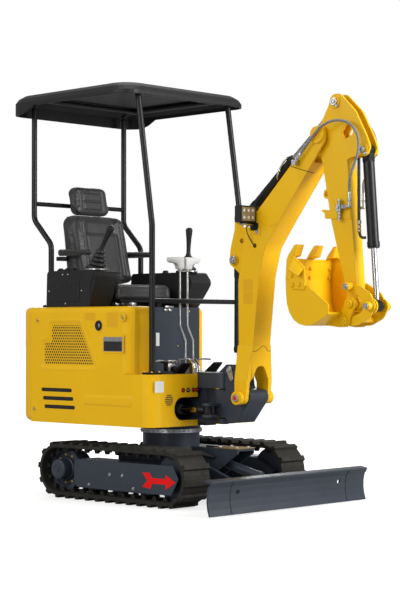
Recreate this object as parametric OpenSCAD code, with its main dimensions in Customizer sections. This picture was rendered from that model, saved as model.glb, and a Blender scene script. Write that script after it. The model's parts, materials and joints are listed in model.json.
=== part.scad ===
// Mini excavator: rubber tracks, front blade, slewing upper body with canopy,
// swinging boom, arm and bucket. Front is +X, left is +Y, up is +Z, sizes in mm.

/* [Undercarriage] */
// Overall width across both tracks
track_width = 1000; // [960:10:1080]
// Width of one track shoe
shoe_width = 200; // [180:5:220]
// Distance from sprocket axle to idler axle
wheel_base = 914; // [890:2:940]
// Height of a track over its lugs
track_height = 330; // [316:2:344]
// Height of a track lug
lug_height = 16; // [12:1:20]
// Length of a track lug along the track
lug_length = 36; // [26:1:46]
// Number of lugs on one track
lug_count = 32; // [28:1:36]
// Thickness of the track belt
belt_thick = 20; // [16:1:24]
// Radius of the slewing ring
ring_radius = 180; // [165:5:195]

/* [Blade] */
// Width of the main blade
blade_width = 960; // [900:10:1000]
// Width of one fold-out blade wing
wing_width = 168; // [120:4:200]
// Thickness of the blade plate
blade_thick = 12; // [8:1:16]
// Radius of the tie-down holes in the blade
blade_hole_r = 13; // [9:1:16]

/* [Upper body] */
// Width over the yellow covers
body_width = 920; // [900:10:960]
// Height of the hood top above ground
hood_top = 1120; // [1110:1:1130]
// Height of the floor above ground
floor_top = 733; // [725:1:741]
// Thickness of the body covers
cover_thick = 8; // [5:1:10]
// Corner radius at the front of the body
front_radius = 90; // [60:5:110]
// Width of one grille hole
mesh_hole = 21; // [14:1:24]
// Distance between grille holes
mesh_pitch = 30; // [28:1:36]

/* [Canopy] */
// Height of the canopy top above ground
canopy_top = 2405; // [2385:5:2480]
// Width of the canopy roof
canopy_width = 1020; // [960:10:1080]
// Overhang of the roof behind the rear posts
roof_overhang = 78; // [72:1:96]
// Radius of the canopy tubes
post_radius = 17; // [14:1:20]

/* [Boom and arm] */
// Width of the boom
boom_width = 140; // [134:2:150]
// Wall thickness of boom and arm
box_wall = 8; // [5:1:12]
// Width of the arm
arm_width = 76; // [72:2:80]
// Radius of the boom cylinder barrel
boom_barrel_r = 29; // [26:1:32]
// Radius of the arm cylinder barrel
arm_barrel_r = 26; // [23:1:29]
// Radius of the bucket cylinder barrel
bucket_barrel_r = 31; // [27:1:33]
// Radius of the piston rods
rod_r = 15; // [12:1:18]
// Radius of the main linkage pins
pin_r = 20; // [16:1:22]

/* [Bucket] */
// Width of the bucket
bucket_width = 380; // [340:10:440]
// Plate thickness of the bucket
bucket_plate = 8; // [6:1:12]
// Number of bucket teeth
tooth_count = 3; // [2:1:5]
// Width of one bucket tooth
tooth_width = 56; // [44:2:64]

/* [Fits] */
// Radial clearance of pins in their bores
pin_clear = 0.05; // [0.02:0.01:0.09]
// Side clearance between forks and eyes
side_clear = 2; // [1:0.5:3]
// Gap between the two halves of the slewing ring
ring_gap = 0.3; // [0.1:0.1:1]

/* [Hidden] */
$fn = 48;

// colours
yellow = [0.85, 0.63, 0.05];
slate = [0.20, 0.22, 0.26];
black = [0.05, 0.05, 0.055];
rubber = [0.10, 0.10, 0.09];
chrome = [0.85, 0.85, 0.87];
steel = [0.60, 0.60, 0.62];
pale = [0.70, 0.71, 0.70];

// tracks
track_r = track_height / 2;
axle_x = wheel_base / 2;
axle_z = track_r;
belt_r = track_r - lug_height;
well_r = belt_r - belt_thick;
track_y = track_width / 2 - shoe_width / 2;
beam_half = shoe_width / 2 - 20;
slot_half = 35;
hub_half = 12.5;
hub_r = 104;
motor_r = 104;
motor_face = 8;
motor_cap_r = 61;
motor_cap = 80;
idler_half = 28;
roller_x = [-220, 0, 220];
roller_r = 36;
roller_half = 29;
wheel_clear = 0.3;
ring_base = 385;
ring_wall = 45;

// linkage points in the X-Z plane
swing_x = 430;
foot = [651, 605];
boom_rod_pin = [548, 757];
boom_top_pin = [552, 1381];
arm_base_pin = [591, 1612];
elbow = [1192, 2037];
arm_rod_pin = [1288, 2209];
bucket_top_pin = [1481, 1938];
rocker_pin = [1400, 1215];
bucket_pin = [1418, 1124];
knee = [1540, 1110];
link_pin = [1385, 1033];
blade_pin = [360, 190];
blade_base_pin = [430, 228];
blade_rod_pin = [850, 130];
swing_base = [-150, -190];
swing_lug = [445, -150];
swing_z = 530;
blade_pin_r = 18;
small_pin_r = 16;
swing_pin_r = 26;
swing_base_r = 14;
knee_pin_r = 18;
foot_pin_r = pin_r + 2;
bucket_pin_r = pin_r - 2;
rocker_pin_r = pin_r - 4;

// length ends, from the rear lip of the canopy to the front of the bucket rocker
rear_bow = -812;
rear_x = rear_bow - roof_overhang;
knee_r = 40;
front_x = knee[0] + knee_r;
origin_x = (rear_x + front_x) / 2;

// body
half_w = body_width / 2;
body_z = 435;
ring_z = 408;
frame_thick = 15;
tail_seam = -737;
hood_front = 120;
deck_front = 290;
hood_in = -250;
left_ledge = 90;
left_in = half_w - left_ledge;
left_front = -160;
seat_front = -130;
deck_in = -300;
deck_thick = 12;
middle_gap = 72;
hood_corner = 75;
left_corner = 60;
cap = 36;
edge = [[0, 30], [2.3, 18.5], [8.8, 8.8], [18.5, 2.3], [30, 0]];
tail_edge = [[0, 40], [3, 24], [12, 9], [26, 0]];
fork_r = 68;
fork_base = body_z + frame_thick + 2;
fork_thick = 28;
fork_mid = 651;
fork_top = floor_top + 8;
web_front = 325;
blade_ear_in = 118;
blade_ear_out = 142;

// fork and plate places across the boom
fork_in = arm_width / 2 + 19;
eye_half = arm_width / 2 - 16;
gusset_in = eye_half + side_clear;
gusset_out = gusset_in + 16;
foot_in = 76 + side_clear;
foot_out = 137;
rocker_in = arm_width / 2 + side_clear;
rocker_out = rocker_in + 12;
link_in = rocker_out + side_clear;
link_out = link_in + 9;
ear_in = link_out + side_clear;
ear_out = ear_in + 10;

function unit(v) = v / norm(v);
// Arc of n steps that rounds the corner b of a path a, b, c by radius r.
function corner(a, b, c, r, n) =
    let (
        u = unit(a - b),
        v = unit(c - b),
        half = acos(u * v) / 2,
        s = b + u * r / tan(half),
        m = b + unit(u + v) * r / sin(half),
        e = b + v * r / tan(half),
        a0 = atan2(s[1] - m[1], s[0] - m[0]),
        a1 = atan2(e[1] - m[1], e[0] - m[0]),
        d = ((a1 - a0 + 540) % 360) - 180
    )
    [for (i = [0:n]) m + r * [cos(a0 + d * i / n), sin(a0 + d * i / n)]];
// Closed path with corners [x, y, radius].
function rounded(p, n = 5) =
    [for (i = [0:len(p) - 1])
        let (k = len(p), a = p[(i + k - 1) % k], b = p[i], c = p[(i + 1) % k])
        each (b[2] > 0
            ? corner([a[0], a[1]], [b[0], b[1]], [c[0], c[1]], b[2], n)
            : [[b[0], b[1]]])];
// Open path with corners [x, y, radius].
function bent(p, n = 3) =
    [for (i = [0:len(p) - 1])
        each (p[i][2] > 0
            ? corner([p[i - 1][0], p[i - 1][1]], [p[i][0], p[i][1]], [p[i + 1][0], p[i + 1][1]], p[i][2], n)
            : [[p[i][0], p[i][1]]])];
function turn_area(p, i = 0) =
    i >= len(p) ? 0
    : let (a = p[i], b = p[(i + 1) % len(p)])
        a[0] * b[1] - a[1] * b[0] + turn_area(p, i + 1);
// Closed path moved inwards by t.
function inset(p, t) =
    let (k = len(p), s = sign(turn_area(p)))
    [for (i = [0:k - 1])
        let (
            a = p[(i + k - 1) % k],
            b = p[i],
            c = p[(i + 1) % k],
            u = unit(b - a),
            v = unit(c - b),
            nu = [-u[1], u[0]] * s,
            nv = [-v[1], v[0]] * s
        )
        b + t * (nu + nv) / (1 + nu * nv)];

module place() {
    translate([-origin_x, 0, 0]) children();
}
// Plate with an outline in the X-Z plane, from y0 to y1.
module slab(p, y0, y1) {
    translate([0, y1, 0]) rotate([90, 0, 0]) linear_extrude(y1 - y0) polygon(p);
}
module slabs(p, y0, y1) {
    slab(p, y0, y1);
    slab(p, -y1, -y0);
}
// Round bar across the machine at c, from y0 to y1.
module bar_y(c, r, y0, y1) {
    translate([c[0], y1, c[1]]) rotate([90, 0, 0]) cylinder(r = r, h = y1 - y0);
}
module bars_y(c, r, y0, y1) {
    bar_y(c, r, y0, y1);
    bar_y(c, r, -y1, -y0);
}
// Local Z runs from a towards b in the X-Z plane.
module along(a, b) {
    translate([a[0], 0, a[1]]) rotate([0, atan2(b[0] - a[0], b[1] - a[1]), 0]) children();
}
module box(x0, x1, y0, y1, z0, z1) {
    translate([x0, y0, z0]) cube([x1 - x0, y1 - y0, z1 - z0]);
}
// Block with an outline in the Y-Z plane, from x0 to x1.
module across(p, x0, x1) {
    translate([x0, 0, 0]) rotate([90, 0, 90]) linear_extrude(x1 - x0) polygon(p);
}
module plan(p, z0, z1) {
    translate([0, 0, z0]) linear_extrude(z1 - z0) polygon(p);
}
// Tube of radius r in the X-Z plane at y, through corners [x, z, bend radius].
module tube(p, r, y) {
    q = bent(p);
    for (i = [0:len(q) - 2])
        translate([0, y, 0]) along(q[i], q[i + 1]) cylinder(r = r, h = norm(q[i + 1] - q[i]));
    for (i = [1:1:len(q) - 2])
        translate([q[i][0], y, q[i][1]]) sphere(r = r + 0.4);
}
// Cylinder barrel with an eye at base, a narrow neck between the fork plates and a blind bore.
module barrel(base, tip, r, length, eye_r, bore_r, neck) {
    collar = 3;
    neck_half = eye_half - 1;
    difference() {
        union() {
            bar_y(base, eye_r, -eye_half, eye_half);
            along(base, tip) {
                translate([-r * 0.8, -neck_half, 0]) cube([r * 1.6, 2 * neck_half, neck + 1]);
                translate([0, 0, neck]) cylinder(r = r, h = length - neck);
                translate([0, 0, length - 34]) cylinder(r = r + collar, h = 26);
            }
        }
        bar_y(base, bore_r + pin_clear, -eye_half - 1, eye_half + 1);
        along(base, tip) translate([0, 0, eye_r + 12]) cylinder(r = rod_r + pin_clear, h = length);
    }
}
// Piston rod that starts at distance from base, with a pinned eye at tip.
module ram(base, tip, from, eye_r, half) {
    along(base, tip) translate([0, 0, from])
        cylinder(r = rod_r, h = norm(tip - base) - from - eye_r * 0.6);
    bar_y(tip, eye_r, -half, half);
}

belt_length = 2 * wheel_base + 2 * PI * belt_r;
lug_lead = 5;
guide_height = 24;
guide_base = 20;
guide_tip = 9;
guide_in = 38;
guide_out = 58;
// Point at distance s along the belt's outside from the top rear, at height h above it.
function on_belt(s, h) =
    let (
        turn = PI * belt_r,
        far = wheel_base + turn,
        r = belt_r + h,
        a = s < far ? 90 - (s - wheel_base) / belt_r * 180 / PI
            : 270 - (s - wheel_base - far) / belt_r * 180 / PI
    )
    s < wheel_base ? [s - axle_x, axle_z + r]
    : s < far ? [axle_x + r * cos(a), axle_z + r * sin(a)]
    : s < far + wheel_base ? [axle_x - (s - far), axle_z - r]
    : [-axle_x + r * cos(a), axle_z + r * sin(a)];
// Closed outline of the tread, with a lug at every pitch.
tread_pitch = belt_length / lug_count;
tread_path = [for (i = [0:lug_count - 1])
    let (s = tread_pitch * (i + 0.5), half = lug_length / 2)
    each [on_belt(s - half, 0), on_belt(s - half + lug_lead, lug_height),
        on_belt(s + half - lug_lead, lug_height), on_belt(s + half, 0),
        on_belt(s + half + (tread_pitch - lug_length) / 2, 0)]];
wheel_path = concat(
    [for (i = [0:24]) [axle_x + well_r * cos(90 - i * 7.5), axle_z + well_r * sin(90 - i * 7.5)]],
    [for (i = [0:24]) [-axle_x + well_r * cos(270 - i * 7.5), axle_z + well_r * sin(270 - i * 7.5)]]);
// Guide lug on the belt's inside at distance s, between y0 and y1.
module guide_lug(s, y0, y1) {
    root = -belt_thick + 6;
    tip = -belt_thick - guide_height;
    slab([on_belt(s - guide_base, root), on_belt(s - guide_tip, tip), on_belt(s + guide_tip, tip),
        on_belt(s + guide_base, root)], y0, y1);
}
module track(side) {
    translate([0, side * track_y, 0]) {
        translate([0, shoe_width / 2, 0]) rotate([90, 0, 0]) linear_extrude(shoe_width) difference() {
            polygon(tread_path);
            polygon(wheel_path);
        }
        for (i = [0:lug_count - 1]) {
            guide_lug(tread_pitch * (i + 0.5), guide_in, guide_out);
            guide_lug(tread_pitch * (i + 0.5), -guide_out, -guide_in);
        }
    }
}
module track_frame(side) {
    front = axle_x + 63;
    rear = -axle_x + 137;
    hub_y = -side * beam_half;
    outline = [[rear, 100], [rear, 210], [rear + 24, 234], [front - 140, 234], [front, axle_z - 3],
        [front - 120, 78], [front - 190, 70], [rear + 50, 70]];
    translate([0, side * track_y, 0]) difference() {
        union() {
            slab(outline, -beam_half, beam_half);
            bar_y([-axle_x, axle_z], hub_r, hub_y - hub_half, hub_y + hub_half);
            box(-axle_x, rear + 10, hub_y - hub_half, hub_y + hub_half, 100, 220);
        }
        box(axle_x - well_r - 12, axle_x + 200, -slot_half, slot_half, 0, 400);
        for (x = roller_x)
            box(x - roller_r - 12, x + roller_r + 12, -slot_half, slot_half, 0, 122);
    }
}
module center_frame() color(slate) place() {
    gap = track_y - beam_half;
    cheek = [[230, 120], [230, 312], [600, 312], [600, 286], [470, 205], [330, 130]];
    ear = rounded([[230, 120, 0], [230, 262, 0], [330, 245, 20], [405, 190, 50], [330, 135, 20]]);
    difference() {
        union() {
            box(-200, 240, -240, 240, 110, 300);
            box(-150, 150, -gap, gap, 120, 225);
            translate([0, 0, 290]) cylinder(r = ring_radius - 12, h = ring_base - 290);
            slabs(cheek, 58, 70);
            box(420, 600, -70, 70, 300, 312);
            slabs(ear, blade_ear_in, blade_ear_out);
        }
        box(-190, 230, -232, 232, 100, 290);
        cylinder(r = ring_radius - 60, h = 400);
        bars_y(blade_pin, blade_pin_r + pin_clear, blade_ear_in - 8, blade_ear_out + 8);
    }
    bar_y(blade_base_pin, small_pin_r, -64, 64);
}
module track_frame_right() color(slate) place() track_frame(-1);
module track_frame_left() color(slate) place() track_frame(1);
module track_right() color(rubber) place() track(-1);
module track_left() color(rubber) place() track(1);
module sprocket(side) {
    translate([0, side * track_y, 0]) {
        mirror([0, side > 0 ? 0 : 1, 0]) {
            difference() {
                bar_y([-axle_x, axle_z], well_r - 1, -30, 30);
                bar_y([-axle_x, axle_z], motor_r, motor_face, 31);
            }
            bar_y([-axle_x, axle_z], motor_r - 4, -beam_half + hub_half, 0);
            bar_y([-axle_x, axle_z], motor_cap_r, 0, motor_cap);
        }
    }
}
module sprockets() color(slate) place() {
    sprocket(-1);
    sprocket(1);
}
module idlers() color(slate) place() for (s = [-1, 1]) translate([0, s * track_y, 0]) {
    bar_y([axle_x, axle_z], well_r - wheel_clear, -idler_half, idler_half);
    bar_y([axle_x, axle_z], 24, -slot_half, slot_half);
}
module rollers() color(slate) place() for (s = [-1, 1]) translate([0, s * track_y, 0])
    for (x = roller_x) {
        z = axle_z - well_r + roller_r + wheel_clear;
        bar_y([x, z], roller_r, -roller_half, roller_half);
        bar_y([x, z], 14, -slot_half, slot_half);
    }
module slew_ring() color(steel) place() difference() {
    translate([0, 0, ring_base]) cylinder(r = ring_radius, h = ring_z - ring_base);
    cylinder(r = ring_radius - ring_wall, h = 500);
}

// Blade section, front face hollow and top lip bent back.
blade_face = [[945, 6], [934, 40], [928, 80], [929, 120], [937, 155], [957, 184]];
module blade_span(y0, y1, t) {
    back = [for (i = [len(blade_face) - 1:-1:0]) blade_face[i] - [t, i == 5 ? 6 : 0]];
    slab(concat(blade_face, [[952, 190], [908, 198], [905, 187]], back), y0, y1);
}
module blade_board() color(slate) place() difference() {
    blade_span(-blade_width / 2, blade_width / 2, blade_thick);
    for (s = [-1, 1])
        translate([880, s * (blade_width / 2 - 60), 122]) rotate([0, 90, 0])
            cylinder(r = blade_hole_r, h = 90);
}
module blade_wings() color(slate) place() {
    blade_span(-blade_width / 2 - wing_width, -blade_width / 2, blade_thick - 1);
    blade_span(blade_width / 2, blade_width / 2 + wing_width, blade_thick - 1);
}
module blade_arms() color(slate) place() {
    fork_y = eye_half + side_clear;
    arm_path = concat(
        [[360, 228, 30], [318, 190, 30], [360, 150, 30], [640, 62, 20], [900, 40, 0]],
        [for (i = [1:3]) [blade_face[i][0] - blade_thick, blade_face[i][1], 0]],
        [[860, 135, 20], [640, 128, 30]]);
    fork_path = [[780, 52], [800, 140], [830, 165], [870, 165], [890, 120], [910, 110], [910, 60], [860, 50]];
    slabs(rounded(arm_path), 90, 115);
    bars_y(blade_pin, blade_pin_r, 100, blade_ear_out + 4);
    slab([[640, 66], [640, 80], [860, 60], [860, 46]], -92, 92);
    slabs(fork_path, fork_y, fork_y + 12);
    bars_y(blade_rod_pin, 26, fork_y, fork_y + 18);
}
module blade_barrel() color(slate) place()
    barrel(blade_base_pin, blade_rod_pin, 27, 300, 27, small_pin_r, 30);
module blade_rod() color(chrome) place() ram(blade_base_pin, blade_rod_pin, 110, 30, eye_half);

module upper_frame() color(slate) place() {
    t = cover_thick;
    r = front_radius - t;
    rear = -720;
    difference() {
        union() {
            plan(rounded([[rear, -half_w + t, 60], [deck_front - t, -half_w + t, r],
                [deck_front - t, half_w - t, r], [rear, half_w - t, 60]]), body_z, body_z + frame_thick);
            translate([0, 0, ring_z + ring_gap]) cylinder(r = ring_radius - 8, h = body_z - ring_z);
            box(180, web_front, -40, 40, body_z, fork_mid + 10);
            box(180, swing_x, -fork_r, fork_r, fork_base, fork_base + fork_thick);
            translate([swing_x, 0, fork_base]) cylinder(r = fork_r, h = fork_thick);
            box(180, deck_front, -fork_r, fork_r, fork_mid, floor_top - deck_thick);
            box(deck_front - cover_thick, swing_x, -fork_r, fork_r, fork_mid, fork_top);
            translate([swing_x, 0, fork_mid]) cylinder(r = fork_r, h = fork_top - fork_mid);
            translate([swing_base[0], swing_base[1], body_z]) {
                cylinder(r = 34, h = swing_z - 32 - body_z);
                cylinder(r = swing_base_r, h = swing_z + 40 - body_z);
            }
        }
        translate([swing_x, 0, 300]) cylinder(r = swing_pin_r + pin_clear, h = 500);
        translate([0, 0, 300]) cylinder(r = ring_radius - 60, h = 200);
    }
}
// Cover wall in plan, along the side from the tail seam and round the front corner to y_end.
module wall(side, front, r, y_end, z0, z1) {
    t = cover_thick;
    inner = side - sign(side) * t;
    plan(rounded([[tail_seam, side, 0], [front, side, r], [front, y_end, 0], [front - t, y_end, 0],
        [front - t, inner, r - t], [tail_seam, inner, 0]]), z0, z1);
}
// Lid with a rounded top edge over such a wall.
module lid(side, front, r, y_end) {
    hull()
        for (d = edge)
            let (y = side - sign(side) * d[0], x = front - d[0])
                plan(rounded([[tail_seam, y, 0], [x, y, r - d[0]], [x, y_end, 0], [tail_seam, y_end, 0]]),
                    hood_top - cap, hood_top - d[1]);
}
grille_path = [[-640, 757], [-136, 757], [-292, 1037], [-575, 1037], [-575, 930], [-640, 930]];
vent_path = rounded([[-640, 640, 10], [-365, 640, 10], [-365, 618, 10], [-640, 618, 10]]);
module right_cover() color(yellow) place() {
    t = cover_thick;
    side = -half_w;
    difference() {
        union() {
            wall(side, deck_front, front_radius, -middle_gap, body_z, floor_top);
            plan(rounded([[hood_front - t, deck_in, 0], [hood_front - t, side + t, 0],
                [deck_front - t, side + t, front_radius - t], [deck_front - t, deck_in, 0]]),
                floor_top - deck_thick, floor_top);
            wall(side, hood_front, hood_corner, hood_in, floor_top, hood_top - cap);
            lid(side, hood_front, hood_corner, hood_in);
        }
        slab(grille_path, side - 10, side + t + 10);
        for (i = [0:2])
            translate([14 * i, 0, -50 * i]) slab(vent_path, side - 10, side + t + 10);
        across(rounded([[-262, 470, 62], [-60, 470, 0], [-60, 600, 0], [-262, 600, 62]]),
            deck_front - 30, deck_front + 30);
    }
}
module side_grille() color(black) place() {
    sheet = 4;
    margin = 8;
    x0 = grille_path[0][0] + margin;
    z0 = grille_path[0][1] + 15;
    translate([0, -half_w + cover_thick + sheet, 0]) rotate([90, 0, 0]) linear_extrude(sheet) difference() {
        polygon(inset(grille_path, -15));
        intersection() {
            polygon(inset(grille_path, margin));
            for (i = [0:16], j = [0:10])
                translate([x0 + mesh_pitch * (i + (j % 2) / 2), z0 + mesh_pitch * 0.88 * j])
                    circle(d = mesh_hole, $fn = 6);
        }
    }
}
module left_cover() color(yellow) place() {
    wall(half_w, deck_front, front_radius, middle_gap, body_z, floor_top);
    wall(half_w, left_front, left_corner, left_in, floor_top, hood_top - cap);
    lid(half_w, left_front, left_corner, left_in);
}
module tail_plan(d, z0, z1) {
    y = half_w - d;
    plan(rounded([[tail_seam, -y, 0], [-830 + d, -y + 18, 70], [-860 + d, -250, 200],
        [-860 + d, 250, 200], [-830 + d, y - 18, 70], [tail_seam, y, 0]]), z0, z1);
}
module counterweight() color(yellow) place() difference() {
    union() {
        hull()
            for (d = tail_edge)
                tail_plan(d[0], body_z + d[1], body_z + 44);
        tail_plan(0, body_z + 40, hood_top - cap);
        hull()
            for (d = edge)
                tail_plan(d[0], hood_top - cap, hood_top - d[1]);
    }
    plan(rounded([[tail_seam + 1, -half_w + 60, 0], [-760, -half_w + 70, 40], [-800, -230, 120],
        [-800, 230, 120], [-760, half_w - 70, 40], [tail_seam + 1, half_w - 60, 0]]),
        body_z + 40, hood_top - cap);
}
module floor_plate() color(black) place() {
    x = deck_front - cover_thick;
    y = half_w - cover_thick;
    gap = 4;
    plan(rounded([[seat_front - 40, deck_in, 0], [x, deck_in, 0], [x, y, front_radius - cover_thick],
        [left_front + gap, y, 0], [left_front + gap, left_in - gap, 0], [seat_front - 40, left_in - gap, 0]]),
        floor_top - deck_thick, floor_top);
}
module seat_base() color(slate) place() {
    box(seat_front - 8, seat_front, hood_in, left_in, floor_top, hood_top - 8);
    box(tail_seam, seat_front, hood_in, left_in, hood_top - 8, hood_top);
}
module engine() color(steel) place() box(-700, -300, -220, 220, body_z + frame_thick, 950);

// canopy
roof_z = canopy_top - 75;
roof_front = 150;
roof_corner = 100;
roof_wall = 9;
skirt = 48;
roof_inside = 60;
roof_gap = 0.5;
post_y = 372;
front_post = 221;
rear_post = -653;
module roof_plan(d, z0, z1) {
    w = canopy_width / 2 - d;
    plan(rounded([[rear_x + d, -w, roof_corner], [roof_front - d, -w, roof_corner],
        [roof_front - d, w, roof_corner], [rear_x + d, w, roof_corner]]), z0, z1);
}
module canopy_roof() color(black) place() {
    difference() {
        hull() {
            roof_plan(0, roof_z, roof_z + 22);
            roof_plan(14, roof_z, roof_z + 48);
            roof_plan(40, roof_z, roof_z + 68);
            roof_plan(84, roof_z, canopy_top);
        }
        hull() {
            roof_plan(roof_wall, roof_z - 1, roof_z + 20);
            roof_plan(46, roof_z - 1, roof_z + roof_inside);
        }
    }
    intersection() {
        difference() {
            roof_plan(0, roof_z - skirt, roof_z + 1);
            roof_plan(roof_wall, roof_z - skirt - 1, roof_z + 2);
        }
        slab([[rear_x - 1, roof_z - skirt], [rear_x + 110, roof_z - skirt], [rear_x + 170, roof_z - 30],
            [rear_x + 230, roof_z], [rear_x + 230, roof_z + 1], [rear_x - 1, roof_z + 1]],
            -canopy_width, canopy_width);
    }
}
module canopy_frame() color(black) place() {
    rail = roof_z + roof_inside - roof_gap - post_radius;
    hoop = [[front_post, floor_top + 10, 0], [front_post, 1582, 0], [100, rail, 50], [rear_bow, rail, 50],
        [rear_bow, 1655, 70], [rear_post, 1500, 70], [rear_post, hood_top + 10, 0]];
    for (y = [-post_y, post_y]) {
        tube(hoop, post_radius, y);
        box(front_post - 40, front_post + 40, y - 40, y + 40, floor_top, floor_top + 12);
        box(rear_post - 42, rear_post + 18, y - 30, y + 30, hood_top, hood_top + 12);
    }
    for (c = [[front_post, 1150], [rear_bow, 1753], [rear_bow + 100, rail], [-20, rail]])
        bar_y(c, post_radius - 3, -post_y, post_y);
}

// operator's place
pan_z = 1150;
seat_z = 1165;
back_foot = 1268;
back_top = 1680;
console_top = 1335;
console_in = 262;
console_out = 430;
armrest_z = console_top + 95;
armrest_in = 232;
armrest_out = 282;
lever_y = 31;
module seat_frame() color(steel) place() {
    for (s = [-1, 1]) {
        box(-625, -255, s * 150 - 20, s * 150 + 20, hood_top, pan_z);
        along([-725, 1640], [-748, 1800]) translate([0, s * 55, 0]) cylinder(r = 7, h = 49);
        mirror([0, s > 0 ? 0 : 1, 0]) box(-735, -675, 165, console_in, armrest_z - 25, armrest_z);
    }
    box(-645, -235, -190, 190, pan_z, seat_z);
    slab([[-645, pan_z], [-620, seat_z], [-721, back_top], [-745, back_top], [-677, seat_z]], -170, 170);
}
module seat_cushion() color(black) place()
    slab(rounded([[-605, seat_z, 10], [-215, seat_z, 30], [-215, seat_z + 97, 40], [-600, seat_z + 85, 25]]),
        -235, 235);
module seat_back() color(black) place()
    slab(rounded([[-640, back_foot, 5], [-533, back_foot, 30], [-623, back_top, 40], [-720.8, back_top, 5]]),
        -215, 215);
module headrest() color(black) place()
    slab(rounded([[-760, 1690, 20], [-680, 1690, 30], [-712, 1872, 30], [-787, 1872, 30]]), -130, 130);
module armrests() color(black) place()
    slabs(rounded([[-720, armrest_z, 10], [-420, armrest_z, 20], [-420, armrest_z + 40, 20],
        [-720, armrest_z + 50, 20]]), armrest_in, armrest_out);
module consoles() color(black) place() {
    slab(rounded([[-630, hood_top, 0], [-624, console_top, 25], [-190, console_top, 35],
        [-200, console_top - 85, 20], [-250, hood_top, 0]]), -console_out, -console_in);
    slab(rounded([[-630, hood_top, 0], [-624, console_top, 25], [-130, console_top, 35],
        [-80, console_top - 63, 35], [-110, console_top - 105, 20], [-200, hood_top, 0]]),
        console_in, console_out);
}
module joystick(base, tip) {
    reach = norm(tip - base);
    translate([base[0], 0, console_top]) cylinder(r = 40, h = 22);
    along(base, tip) {
        cylinder(r1 = 30, r2 = 14, h = 75);
        translate([0, 0, 70]) cylinder(r = 9, h = reach - 140);
        translate([0, 0, reach - 110]) cylinder(r1 = 14, r2 = 20, h = 80);
        translate([0, 0, reach - 30]) cylinder(r1 = 20, r2 = 12, h = 30);
    }
}
module joysticks() color(black) place() {
    translate([0, -325, 0]) joystick([-300, console_top + 17], [-190, console_top + 262]);
    translate([0, 312, 0]) joystick([-170, console_top + 17], [-160, console_top + 277]);
}
module travel_levers() color(pale) place() for (s = [-1, 1]) {
    tube([[150, floor_top, 0], [150, 921, 0], [103, 1011, 0], [103, 1385, 0]], 6, s * lever_y);
    mirror([0, s > 0 ? 0 : 1, 0]) bar_y([103, 1394], 13, 14, 124);
    box(138, 162, s * lever_y - 14, s * lever_y + 14, floor_top, floor_top + 40);
}
module pedals() color(black) place()
    slabs([[185, floor_top], [205, floor_top], [262, floor_top + 57], [256, floor_top + 64],
        [185, floor_top + 12]], 95, 165);

module swing_post() color(slate) place() {
    eye = eye_half + side_clear;
    lug_thick = 16;
    over = fork_top + 7;
    under = fork_mid - 11;
    side = rounded([[440, 488, 0], [512, 488, 0], [536, 462, 10], [596, 462, 14], [741, 642, 40],
        [600, 657, 20], [588, 740, 0], [578, 790, 20], [520, 790, 10], [466, over, 0], [512, over, 0],
        [512, under, 0], [440, under, 0]]);
    lug = rounded([[swing_x + 45, 0, 0], [swing_lug[0] + 30, swing_lug[1] - 28, 26],
        [swing_lug[0] - 30, swing_lug[1] - 28, 26], [swing_x - 40, -10, 0]]);
    difference() {
        union() {
            translate([swing_x, 0, 485]) cylinder(r = 60, h = fork_mid - 491);
            slab(side, -76, 76);
            for (z = [swing_z - eye - lug_thick, swing_z + eye])
                plan(lug, z, z + lug_thick);
            translate([swing_x, 0, fork_base - 6]) cylinder(r = swing_pin_r, h = fork_top + 12 - fork_base);
        }
        box(505, 618, -eye, eye, 678, 900);
        bar_y(foot, foot_pin_r + pin_clear, -80, 80);
    }
    bars_y(boom_rod_pin, 24, 70, 84);
}
module along_swing() {
    d = swing_lug - swing_base;
    translate([swing_base[0], swing_base[1], swing_z]) rotate([0, 0, atan2(d[1], d[0])]) rotate([0, 90, 0])
        children();
}
module swing_barrel() color(slate) place() difference() {
    union() {
        translate([swing_base[0], swing_base[1], swing_z - eye_half]) cylinder(r = 32, h = 2 * eye_half);
        along_swing() {
            translate([0, 0, 20]) cylinder(r = 28, h = 380);
            translate([0, 0, 366]) cylinder(r = 31, h = 26);
        }
    }
    translate([swing_base[0], swing_base[1], 0]) cylinder(r = swing_base_r + pin_clear, h = 900);
    along_swing() translate([0, 0, 40]) cylinder(r = rod_r + pin_clear, h = 500);
}
module swing_rod() color(chrome) place() {
    along_swing() translate([0, 0, 160]) cylinder(r = rod_r, h = norm(swing_lug - swing_base) - 170);
    translate([swing_lug[0], swing_lug[1], swing_z - eye_half]) cylinder(r = 24, h = 2 * eye_half);
}

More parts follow.
